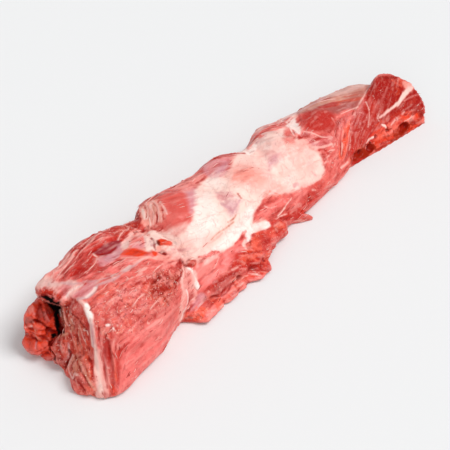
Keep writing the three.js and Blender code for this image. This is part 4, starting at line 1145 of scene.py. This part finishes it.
    ("leanPale", [(404, 101), (411, 97), (419, 94)], 0.7, dict(opacity=0.8)),
    ("orange", [(376, 126), (386, 119), (396, 113), (402, 111)], 1.6, dict(opacity=0.5)),
    ("orange", [(376, 143), (384, 140), (393, 137)], 1.4, dict(opacity=0.8)),
    ("pit", [(354, 160), (362, 157), (372, 151)], 0.9, dict(opacity=0.8)),
    ("pit", [(394, 136), (402, 133), (412, 128)], 0.9, dict(opacity=0.8)),
    ("orange", [(399, 119), (404, 117), (410, 117)], 1.3, dict(opacity=0.7)),
    ("orange", [(372, 136), (377, 131), (382, 129)], 1.2, dict(opacity=0.7)),
    ("leanDark", [(366, 140), (374, 129), (382, 123), (390, 118)], 1.2, dict(opacity=0.6)),
    ("leanDark", [(383, 119.5), (391, 114.5), (400, 111), (410, 109), (418, 109)], 1.5, dict(opacity=0.85)),
    # brown along the lower rim of the slice, darkened further with painted shade where it turns down to the
    # floor
    ("brownDark", [(376, 150), (382, 147), (388, 145)], 0.9, dict(opacity=0.7, raised=-0.5)),
    ("brownDark", [(391, 141), (397, 139), (401, 137)], 0.9, dict(opacity=0.7, raised=-0.5)),
    ("fatPink", [(405, 121), (409, 119), (412, 116)], 0.6, dict(opacity=0.7, raised=0.3)),
    ("brownDark", [(394, 122), (398, 120), (402, 120)], 0.6, dict(opacity=0.6, raised=-0.4)),
    ("cream", [(382, 125, 1.2), (384.5, 126, 1.5), (386, 128, 0.6)], 1, dict(raised=0.4)),
    ("cream", [(366.5, 143, 0.6), (369, 139.5, 1), (373, 137, 0.8)], 1, dict(raised=0.4)),
    ("fatPink", [(391, 125), (394, 121), (397, 118)], 0.9, dict(opacity=0.8, raised=0.4)),
    ("fatPink", [(402, 114), (404, 112)], 0.8, dict(opacity=0.7)),
    # painted shade in small holes of the slice's foot
    ("gapShade", [(387, 127), (388, 130)], 0.7, dict(opacity=0.8, raised=-0.8)),
    ("brownDark", [(390, 129), (392, 128.5)], 0.6, dict(opacity=0.9)),
    ("gapShade", [(369.5, 142), (369.8, 142.5)], 0.8, dict(opacity=0.95, raised=-0.8)),
    ("brownDark", [(386, 132), (389, 136)], 0.8, dict(opacity=0.5)),
    ("leanDeep", [(352, 158), (362, 160), (350, 164)], 1.0, dict(opacity=0.5)),
]

# Seams and threads on the hidden sides: the side, then as above with places in mm.
hiddenLines = [
    ("behind", "fatPink", [(-225, 14), (-190, 22), (-150, 18), (-110, 26)], 1.1, dict(raised=0.3)),
    ("behind", "leanDark", [(-222, 30), (-180, 34), (-150, 31), (-128, 36)], 1.0, dict(opacity=0.8,
        raised=-0.8)),
    ("behind", "cream", [(-140, 8), (-100, 13), (-60, 10), (-30, 15)], 1.3, dict(raised=0.4)),
    ("behind", "leanDark", [(-95, 34), (-60, 28), (-20, 32), (10, 27)], 0.9, dict(opacity=0.8, raised=-0.8)),
    ("behind", "silver", [(-80, 40), (-50, 36), (-20, 40), (5, 38)], 1.8, dict(opacity=0.7)),
    ("behind", "fatPink", [(-30, 22), (10, 17), (50, 20), (95, 14)], 1.0, dict(raised=0.3)),
    ("behind", "leanDark", [(20, 36), (60, 30), (95, 34), (130, 28)], 0.9, dict(opacity=0.8, raised=-0.7)),
    ("behind", "silver", [(40, 40), (75, 37), (110, 38)], 1.6, dict(opacity=0.7)),
    ("behind", "cream", [(80, 9), (120, 12), (160, 8), (200, 10)], 1.2, dict(raised=0.3)),
    ("behind", "leanDark", [(110, 20), (150, 22), (190, 16), (215, 17)], 0.8, dict(opacity=0.8, raised=-0.7)),
    ("behind", "fatPink", [(-205, 8), (-196, 20), (-188, 34)], 0.6, dict(opacity=0.8)),
    ("behind", "fatPink", [(-120, 40), (-112, 28), (-108, 14)], 0.6, dict(opacity=0.8)),
    ("behind", "fatPink", [(-8, 42), (0, 30), (4, 14)], 0.6, dict(opacity=0.8)),
    ("behind", "fatPink", [(70, 30), (78, 20), (82, 8)], 0.6, dict(opacity=0.8)),
    ("above", "fatPink", [(-190, 34), (-150, 40), (-110, 44), (-80, 46)], 0.8, dict(raised=0.3)),
    ("above", "leanDark", [(-205, 25), (-170, 35), (-140, 42)], 0.8, dict(opacity=0.8, raised=-0.7)),
    ("above", "silver", [(20, 36), (60, 40), (100, 36), (140, 32)], 1.6, dict(opacity=0.7)),
    ("foldedEnd", "fatPink", [(46, 10), (36, 20), (24, 28)], 0.9, dict(raised=0.3)),
    ("foldedEnd", "leanDark", [(40, 8), (30, 16), (20, 18)], 0.9, dict(opacity=0.8, raised=-0.7)),
]

# Torn chunks: their size and height in mm, the colours that some of them take, and an outline in pixels.
chunks = [
    (8, 2.1, "orange", "coreDark", [(24, 303), (42, 298), (52, 303), (59, 320), (58, 334), (52, 342),
        (54, 358), (36, 355), (20, 346), (23, 328)]),
    (8, 0.9, "brown", "brownDark", [(53, 338), (68, 332), (70, 350), (66, 370), (56, 364)]),
    (9, 0.9, "orangeSoft", "leanDeep", [(66, 366), (80, 372), (94, 384), (96, 398), (80, 400)]),
    (8, 0.9, "orangeSoft", "brownDark", [(348, 166), (352, 156), (368, 142), (376, 131), (396, 117),
        (412, 111), (424, 112), (426, 126), (402, 140), (384, 148), (366, 161)]),
    (5, 1.0, "leanPale", "brownDark", [(146, 284), (158, 273), (172, 275), (184, 266), (181, 282), (172, 296),
        (166, 304), (154, 300)]),
    (14, 1.0, "orangeSoft", "leanDeep", [(250, 242), (258, 231), (272, 228), (284, 218), (288, 230),
        (276, 250), (268, 270), (250, 280), (232, 300), (206, 322), (184, 322), (196, 306), (226, 284),
        (238, 262)]),
]
for size, height, bright, dark, outline in chunks:
    near, share = within(outline, 2, 1)
    stands, shared = facets(points[near], size, seeds["chunks"])
    lift[near] += height * share * stands
    share = share * (plain[near] < holePlain)
    overPaint(near, share * ramp(shared, 0.2, 0.5) * 0.65, bright)
    overPaint(near, share * ramp(-shared, 0.4, 0.7) * 0.5, dark)

for side, colour, knots, width, more in hiddenLines:
    stroke(colour, knots, width, side=side, **more)
for colour, knots, width, more in lines:
    stroke(colour, knots, width, **more)
print(f"lines: {len(lines) + len(hiddenLines)}, {sum(passedBy)} points beside the beef")


# Relief: what the lists raised or sank, then crumbs on ragged meat and long low ripples along the fibres.
# Heights and wavelengths in mm.
relief = {
    "crumbs": 0.9,
    "crumbLength": 5,
    "coarse": 0.55,
    "fine": 0.25,
    "uneven": 0.5,
    "unevenLength": 14,
}
crumbs = noise(points, relief["crumbLength"], seeds["crumbs"], 2)
uneven = noise(points, relief["unevenLength"], seeds["uneven"], 2)
lean = 1 - fat
ripple = (coarseFibres * relief["coarse"] + fineFibres * relief["fine"]) * lean * (1 - 0.6 * plain)
offset = lift + relief["uneven"] * uneven + relief["crumbs"] * crumbs * ragged + ripple
aboveBoard = ramp(points[:, 2], 0.5, 5)
points = points + normals * (offset * aboveBoard)[:, None]
points = smoothed(points, 1, back=0.6)
low, high = (np.array(corner) / mm for corner in cadBox)
points = np.clip(points, low, high)
normals = normalsOf(points)

# Hollows catch less light: the shader paints shade into them and a painted highlight onto ridges.
hollow = np.sum((smoothed(points, 12) - points) * normals, axis=1)
hollow = smoothed(hollow[:, None], 1)[:, 0]
print(f"relief: {np.percentile(hollow, [1, 50, 99]).round(2)}")


attributeKinds = {1: ("FLOAT", "value"), 3: ("FLOAT_VECTOR", "vector"), 4: ("FLOAT_COLOR", "color")}


def store(mesh, attributes):
    # a number, a vector or a colour for each corner of a mesh, under each name
    for key, values in attributes.items():
        values = np.asarray(values, np.float32)
        kind, field = attributeKinds[values.size // len(values)]
        mesh.attributes.new(key, kind, "POINT").data.foreach_set(field, values.ravel())


def meshObject(name, corners, faces, attributes):
    mesh = bpy.data.meshes.new(name)
    mesh.from_pydata((corners * mm).tolist(), [], faces.tolist())
    mesh.polygons.foreach_set("use_smooth", [True] * len(mesh.polygons))
    store(mesh, attributes)
    return newObject(name, mesh)


class Value:
    # a shader socket that takes part in plain arithmetic
    def __init__(self, shader, socket):
        self.shader, self.socket = shader, socket

    def maths(self, operation, *others, flip=False):
        terms = [self, *others]
        if flip:
            terms.reverse()
        node = self.shader.add("ShaderNodeMath", {"operation": operation}, dict(enumerate(terms)))
        return Value(self.shader, node.outputs[0])

    def __add__(self, other):
        return self.maths("ADD", other)

    def __sub__(self, other):
        return self.maths("SUBTRACT", other)

    def __mul__(self, other):
        return self.maths("MULTIPLY", other)

    def __rsub__(self, other):
        return self.maths("SUBTRACT", other, flip=True)

    __radd__ = __add__
    __rmul__ = __mul__

    def between(self, low, high):
        # 0 below low, 1 above high, smooth in between
        node = self.shader.add("ShaderNodeMapRange", {"interpolation_type": "SMOOTHSTEP"},
                               {"Value": self, "From Min": low, "From Max": high})
        return Value(self.shader, node.outputs["Result"])


class Nodes:
    # a node tree that is built call by call
    def __init__(self, nodeTree):
        self.nodeTree = nodeTree

    def add(self, kind, settings=None, values=None):
        node = self.nodeTree.nodes.new(kind)
        for key, value in (settings or {}).items():
            setattr(node, key, value)
        for key, value in (values or {}).items():
            source = value.socket if isinstance(value, Value) else value
            if isinstance(source, bpy.types.NodeSocket):
                self.nodeTree.links.new(source, node.inputs[key])
            else:
                node.inputs[key].default_value = source
        return node


class Shader(Nodes):
    def __init__(self, name):
        self.material = bpy.data.materials.new(name)
        self.material.use_nodes = True
        super().__init__(self.material.node_tree)
        self.nodeTree.nodes.clear()

    def attribute(self, name, output="Fac"):
        return Value(self, self.add("ShaderNodeAttribute", {"attribute_name": name}).outputs[output])

    def noise(self, where, scale, detail=2.0, roughness=0.5, distortion=0.0):
        node = self.add("ShaderNodeTexNoise", {"noise_dimensions": "3D"}, {
            "Vector": where, "Scale": scale, "Detail": detail, "Roughness": roughness,
            "Distortion": distortion})
        return Value(self, node.outputs["Fac"])

    def mix(self, share, first, second):
        node = self.add("ShaderNodeMix", {"data_type": "RGBA"}, {0: share, 6: first, 7: second})
        return Value(self, node.outputs[2])

    def threads(self, field, thickness):
        # 1 along the thin wandering lines where a noise passes its middle
        return (field - 0.5).maths("ABSOLUTE").between(thickness, thickness * 0.3)

    def finished(self, values):
        # the material, with a surface of these values
        surface = self.add("ShaderNodeBsdfPrincipled", None, values)
        self.add("ShaderNodeOutputMaterial", None, {"Surface": surface.outputs["BSDF"]})
        return self.material


beefLook = {
    "hairs": 1.15,  # to a mm across
    "threads": 100,  # to a metre, as what follows
    "veils": 45,
    "wrinkles": 60,
    "grain": 1100,
    "blotches": 140,
    "crumbs": 360,
    "bump": 0.0009,  # in metres
    "bumpStrength": 0.9,
    "roughness": 0.24,
    "specular": 0.04,
    "wetness": 0.2,
    "wetRoughness": 0.2,
}


def rgba(name):
    return (*[float(c) for c in linearColour(name)], 1.0)


def beefMaterial():
    s = Shader("rawBeef")
    here = Value(s, s.add("ShaderNodeTexCoord").outputs["Object"])
    fibreAt = s.attribute("fibre", "Vector")
    fatness = s.attribute("fat")
    hollowness = s.attribute("hollow")
    torn = s.attribute("torn")
    smooth = s.attribute("plain")
    marked = 1 - smooth
    lean = (1 - fatness) * marked
    hair = s.noise(fibreAt, beefLook["hairs"], 2, 0.6)
    fine = s.attribute("fine")
    coarse = s.attribute("coarse")
    grain = s.noise(here, beefLook["grain"], 2, 0.6)
    blotch = s.noise(here, beefLook["blotches"], 3, 0.6)
    thread = s.threads(s.noise(here, beefLook["threads"], 2, 0.6, 1.1), 0.02)
    thread = thread * blotch.between(0.5, 0.62) * marked
    crumb = s.noise(here, beefLook["crumbs"], 3, 0.65, 0.8)
    veil = s.noise(here, beefLook["veils"], 4, 0.65, 0.9)
    wrinkle = s.threads(s.noise(here, beefLook["wrinkles"], 3, 0.6, 1.4), 0.03)

    fibrous, crumbly = lean * (1 - 0.6 * torn), lean * torn
    wisp = (veil + coarse * 0.12 + fine * 0.1).between(0.5, 0.68)
    hollowShadeWeight = 1 - fatness * 0.7
    # over the painted colour: where each layer lies, its opacity and its colour
    layers = [
        (blotch.between(0.5, 0.3) * lean, 0.5, "juiceAndShade"),
        (coarse.between(-0.1, -0.8) * lean, 0.7, "juiceAndShade"),
        (coarse.between(0.15, 0.9) * lean, 0.5, "leanPale"),
        (fine.between(-0.1, -0.9) * fibrous, 0.7, "juiceAndShade"),
        (fine.between(0.2, 0.9) * fibrous, 0.6, "fatPink"),
        (hair.between(0.46, 0.3) * fibrous, 0.3, "juiceAndShade"),
        (hair.between(0.57, 0.72) * fibrous, 0.3, "fatPink"),
        (crumb.between(0.47, 0.36) * crumbly, 0.6, "juiceAndShade"),
        (crumb.between(0.4, 0.3) * crumbly, 0.6, "darkJuiceAndShade"),
        (crumb.between(0.54, 0.66) * crumbly, 0.6, "crumb"),
        (blotch.between(0.52, 0.64) * crumbly, 0.45, "orangeSoft"),
        (blotch.between(0.42, 0.32) * crumb.between(0.5, 0.6) * crumbly, 0.6, "fatPink"),
        # painted glints: white specks on crumbly meat
        (grain.between(0.62, 0.72) * crumb.between(0.5, 0.6) * crumbly, 0.9, "fat"),
        (thread * lean, 0.4, "cream"),
        (wisp * fatness, 0.45, "fatPink"),
        ((veil - fine * 0.1).between(0.46, 0.3) * fatness, 0.3, "fat"),
        (fine.between(0.3, 0.9) * fatness, 0.2, "fat"),
        (fine.between(-0.3, -0.9) * veil.between(0.4, 0.6) * fatness, 0.3, "peach"),
        (wrinkle * blotch.between(0.4, 0.6) * fatness, 0.16, "lilac"),
        # painted shade in hollows, weaker on fat, then a painted highlight on ridges
        (hollowness.between(0.03, 0.4) * hollowShadeWeight, 0.6, "juiceAndShade"),
        (hollowness.between(0.2, 0.7) * hollowShadeWeight, 0.6, "darkJuiceAndShade"),
        (hollowness.between(-0.06, -0.4) * lean, 0.35, "leanPale"),
    ]
    colour = s.attribute("paint", "Color")
    for where, opacity, name in layers:
        colour = s.mix(where * opacity, colour, rgba(name))
    height = (hair * (1 - s.attribute("seam")) * 0.5 + fine * 0.4) * fibrous
    height = height + grain * 0.2 + blotch * 0.5 + thread * 0.3
    height = height + (crumb * 1.6 + grain * 0.4) * crumbly - wrinkle * fatness * 0.25
    bump = s.add("ShaderNodeBump", None, {
        "Strength": beefLook["bumpStrength"], "Distance": beefLook["bump"], "Height": height})
    return s.finished({
        "Base Color": colour,
        "Roughness": beefLook["roughness"] + 0.2 * grain + 0.16 * fatness + 0.4 * smooth.between(0.8, 1),
        "Specular IOR Level": beefLook["specular"],
        "Coat Weight": beefLook["wetness"] * s.attribute("gloss"),
        "Coat Roughness": beefLook["wetRoughness"],
        "Normal": bump.outputs["Normal"],
    })


beef = meshObject("boilingBeef", points, squares, {
    "paint": np.concatenate([paint, np.ones((count, 1))], 1),
    "fat": fat,
    "fibre": fibre * (1 / 4, 1, 1),
    "plain": plain,
    "seam": 1 - insideMuscle,
    "fine": fineFibres,
    "coarse": coarseFibres,
    "hollow": hollow,
    "torn": ragged,
    "loose": looseness * aboveBoard * (plain < holePlain),
    "gloss": ramp(paint.mean(axis=1), 0.02, 0.2),
    "way": fibreWay,
})


def inBox(mesh):
    # no corner outside the box of the CAD solid
    mesh.vertices.foreach_set("co", np.clip(cornersOf(mesh), *cadBox).astype(np.float32).ravel())
    mesh.update()


def thinned(made, share, triangles):
    # fewer triangles where share is 1, which is where the photo doesn't look
    group = made.vertex_groups.new(name="thin")
    for level in np.unique(share):
        group.add(np.nonzero(share == level)[0].tolist(), float(level), "REPLACE")
    modifier = made.modifiers.new("thin", "DECIMATE")
    modifier.ratio = min(1, triangles / (2 * len(made.data.polygons)))
    modifier.vertex_group = group.name
    modifier.vertex_group_factor = 1000
    mesh = evaluatedMesh(made)
    made.modifiers.clear()
    made.vertex_groups.clear()
    old, made.data = made.data, mesh
    bpy.data.meshes.remove(old)
    inBox(mesh)
    mesh.calc_loop_triangles()
    print(f"thinned: {len(mesh.loop_triangles)} triangles")


thinned(beef, np.round(1 - smoothed(seen[:, None], 3)[:, 0], 1), surface["triangles"])
beef.data.materials.append(beefMaterial())


class Shape(Nodes):
    # geometry nodes with named sizes, grown on a carrier
    def __init__(self, name, sizes):
        super().__init__(bpy.data.node_groups.new(name, "GeometryNodeTree"))
        self.sizes = sizes
        interface = self.nodeTree.interface
        interface.new_socket("Carrier", in_out="INPUT", socket_type="NodeSocketGeometry")
        interface.new_socket("Shape", in_out="OUTPUT", socket_type="NodeSocketGeometry")
        for key in sizes:
            interface.new_socket(key, in_out="INPUT", socket_type="NodeSocketFloat")
        self.given = self.add("NodeGroupInput").outputs

    def size(self, key):
        return Value(self, self.given[key])

    def named(self, key, kind="FLOAT"):
        node = self.add("GeometryNodeInputNamedAttribute", {"data_type": kind}, {"Name": key})
        return Value(self, node.outputs[0])

    def chance(self, low, high, seed):
        # a random value from low to high for each point
        node = self.add("FunctionNodeRandomValue", {"data_type": "FLOAT"}, {2: low, 3: high, "Seed": seed})
        return Value(self, node.outputs[1])

    def join(self, x, y, z):
        return Value(self, self.add("ShaderNodeCombineXYZ", None, {0: x, 1: y, 2: z}).outputs[0])

    def scatter(self, density, seed, shadeSeed):
        # points on the carrier, each with a shade of its own, and the way that each faces
        points = self.add("GeometryNodeDistributePointsOnFaces", {"distribute_method": "RANDOM"}, {
            "Mesh": self.given["Carrier"], "Density": density, "Seed": seed})
        shaded = self.add("GeometryNodeStoreNamedAttribute", {"data_type": "FLOAT", "domain": "POINT"}, {
            0: points.outputs["Points"], "Name": "shade", "Value": self.chance(0, 1, shadeSeed)})
        return shaded.outputs[0], points.outputs["Normal"]

    def grow(self, name, carrier, geometry, material):
        even = self.add("GeometryNodeSetShadeSmooth", None, {"Geometry": geometry})
        real = self.add("GeometryNodeRealizeInstances", None, {0: even.outputs[0]})
        coat = self.add("GeometryNodeSetMaterial", None, {"Geometry": real.outputs[0], "Material": material})
        self.add("NodeGroupOutput", None, {0: coat.outputs[0]})
        modifier = carrier.modifiers.new("grow", "NODES")
        modifier.node_group = self.nodeTree
        for item in self.nodeTree.interface.items_tree:
            if item.name in self.sizes:
                modifier[item.identifier] = self.sizes[item.name]
        mesh = evaluatedMesh(carrier)
        carrier.modifiers.clear()
        inBox(mesh)
        mesh.calc_loop_triangles()
        print(f"{name}: {len(mesh.loop_triangles)} triangles")
        return newObject(name, mesh)


def strandMaterial(name, pale, dark):
    # meat or fat in small bits: the colour of the meat below, paler or darker from bit to bit
    s = Shader(name)
    shade = s.attribute("shade")
    colour = s.attribute("paint", "Color")
    colour = s.mix(shade.between(0.35, 1) * pale, colour, rgba("cream"))
    colour = s.mix(shade.between(0.4, 0.1) * dark, colour, rgba("juiceAndShade"))
    return s.finished({"Base Color": colour, "Roughness": 0.2, "Specular IOR Level": 0.4})


# Loose fibres that lie along the muscles, each a low arch with both ends in the meat; sizes in m.
shredSizes = {
    "To a square metre": 26000,
    "Length": 0.0062,
    "Thickness": 0.0003,
    "Arch": 0.00055,
    "Sunk": 0.00022,
}


def shreds():
    t = Shape("shreds", shredSizes)
    line = t.add("GeometryNodeMeshLine", {"mode": "END_POINTS"}, {
        "Count": 6, "Start Location": (-0.5, 0, 0), "Offset": (0.5, 0, 0)})
    curve = t.add("GeometryNodeMeshToCurve", None, {0: line.outputs[0]})
    place = t.add("GeometryNodeInputPosition").outputs[0]
    along = Value(t, t.add("ShaderNodeSeparateXYZ", None, {0: place}).outputs[0])
    bow = 1 - along * along * 4
    sideways = (along * 6).maths("SINE") * t.size("Thickness")
    arch = t.add("GeometryNodeSetPosition", None, {
        "Geometry": curve.outputs[0],
        "Offset": t.join(0.0, sideways, bow * t.size("Arch") - t.size("Sunk"))})
    ring = t.add("GeometryNodeCurvePrimitiveCircle", None, {"Resolution": 4, "Radius": t.size("Thickness")})
    shred = t.add("GeometryNodeCurveToMesh", None, {
        "Curve": arch.outputs[0], "Profile Curve": ring.outputs[0], "Fill Caps": True,
        "Scale": bow * 0.85 + 0.15})
    torn = t.named("torn")
    lean = 1 - t.named("fat")
    density = t.size("To a square metre") * lean * t.named("loose")
    points, normal = t.scatter(density, seeds["shredPlaces"], 4)
    turn = t.add("FunctionNodeAxesToRotation", {"primary_axis": "Z", "secondary_axis": "X"}, {
        "Primary Axis": normal, "Secondary Axis": t.named("way", "FLOAT_VECTOR")})
    skew = t.add("FunctionNodeRotateRotation", {"rotation_space": "LOCAL"}, {
        0: turn.outputs[0], 1: t.join(0.0, 0.0, t.chance(-0.3, 0.3, 1))})
    size = t.size("Length") * t.chance(0.45, 1.5, 2) * (1 - torn * 0.45)
    width = t.chance(0.6, 1.3, 3)
    placed = t.add("GeometryNodeInstanceOnPoints", None, {
        "Points": points, "Instance": shred.outputs[0], "Rotation": skew.outputs[0],
        "Scale": t.join(size, width, width)})
    return t.grow("shreds", beef, placed.outputs[0], strandMaterial("looseFibres", 0.75, 0.8))


# Crumbs of fat and meat on torn ground; sizes in m.
crumbSizes = {"To a square metre": 90000, "Radius": 0.00042}


def looseCrumbs():
    t = Shape("crumbs", crumbSizes)
    crumb = t.add("GeometryNodeMeshIcoSphere", None, {"Radius": t.size("Radius"), "Subdivisions": 1})
    density = t.size("To a square metre") * t.named("torn").between(0.3, 1)
    density = density * t.named("loose").between(0, 0.1)
    points, _ = t.scatter(density, seeds["crumbPlaces"], 1)
    spin = t.add("FunctionNodeEulerToRotation", None, {
        0: t.join(t.chance(0, 3, 2), t.chance(0, 3, 3), t.chance(0, 3, 4))})
    placed = t.add("GeometryNodeInstanceOnPoints", None, {
        "Points": points, "Instance": crumb.outputs[0], "Rotation": spin.outputs[0],
        "Scale": t.join(t.chance(0.5, 1.9, 5), t.chance(0.5, 1.4, 6), t.chance(0.5, 1.2, 7))})
    return t.grow("crumbs", beef, placed.outputs[0], strandMaterial("crumbs", 0.8, 0.7))


# Threads of fat along the finest lines; the size in m.
threadSizes = {"Thickness": 0.00042}
tree = BVHTree.FromPolygons(points.tolist(), squares.tolist())


def fatThreads():
    corners, links, thick, shade = [], [], [], []
    for line, half, pale in threadRoutes:
        steps = np.linspace(0, 1, len(line))
        swell = np.sin(np.pi * steps) ** 0.6 * (1 + 0.5 * noise(line, 3, seeds["threads"]))
        for i, p in enumerate(line):
            on, normal = tree.find_nearest(Vector(p))[:2]
            corners.append(np.array(on) - np.array(normal) * 0.1)
            thick.append(max(0.1, half * swell[i]))
            shade.append(pale)
            if i:
                links.append((len(corners) - 2, len(corners) - 1))
    mesh = bpy.data.meshes.new("routes")
    mesh.from_pydata([tuple(c * mm) for c in corners], links, [])
    store(mesh, {"thick": thick, "shade": shade, "paint": np.tile(rgba("fatPink"), (len(corners), 1))})
    routes = newObject("routes", mesh)
    t = Shape("threads", threadSizes)
    curve = t.add("GeometryNodeMeshToCurve", None, {0: t.given["Carrier"]})
    ring = t.add("GeometryNodeCurvePrimitiveCircle", None, {"Resolution": 6, "Radius": t.size("Thickness")})
    thread = t.add("GeometryNodeCurveToMesh", None, {
        "Curve": curve.outputs[0], "Profile Curve": ring.outputs[0], "Fill Caps": True,
        "Scale": t.named("thick")})
    made = t.grow("fatThreads", routes, thread.outputs[0], strandMaterial("fatThreads", 0.9, 0.1))
    bpy.data.objects.remove(routes)
    return made


for piece in (beef, shreds(), looseCrumbs(), fatThreads()):
    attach(piece, "root")
    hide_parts("boiling_beef")

# Floor and light
studio = {
    "floorReach": 60,  # in metres, so that its edge hardly shows
    "floorColour": (0.79, 0.795, 0.8, 1),
    "floorRoughness": 0.7,
    "sky": 0.5,
}
reach = studio["floorReach"]
floorMesh = bpy.data.meshes.new("floor")
floorMesh.from_pydata([(-reach, -reach, 0), (reach, -reach, 0), (reach, reach, 0), (-reach, reach, 0)], [],
                      [(0, 1, 2, 3)])
floor = newObject("floor", floorMesh)
floorMesh.materials.append(Shader("paleFloor").finished({
    "Base Color": studio["floorColour"], "Roughness": studio["floorRoughness"]}))
floor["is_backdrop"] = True

world = bpy.data.worlds.new("studio")
world.use_nodes = True
sky = world.node_tree.nodes["Background"].inputs
sky["Color"].default_value = (1, 1, 1, 1)
sky["Strength"].default_value = studio["sky"]
bpy.context.scene.world = world
bpy.context.scene.view_settings.view_transform = "Standard"


def lamp(name, place, strength, spread):
    # light as even as from a large soft lamp far off; spread is how wide it looks, in degrees
    light = bpy.data.lights.new(name, "SUN")
    light.energy = strength
    light.angle = math.radians(spread)
    made = newObject(name, light)
    made.location = place
    made.rotation_mode = "QUATERNION"
    made.rotation_quaternion = Vector(place).to_track_quat("Z", "Y")


lamp("key", (1.0, -1.1, 2.2), 2.1, 30)
lamp("fill", (-0.9, -0.55, 0.45), 0.6, 35)

low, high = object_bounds()
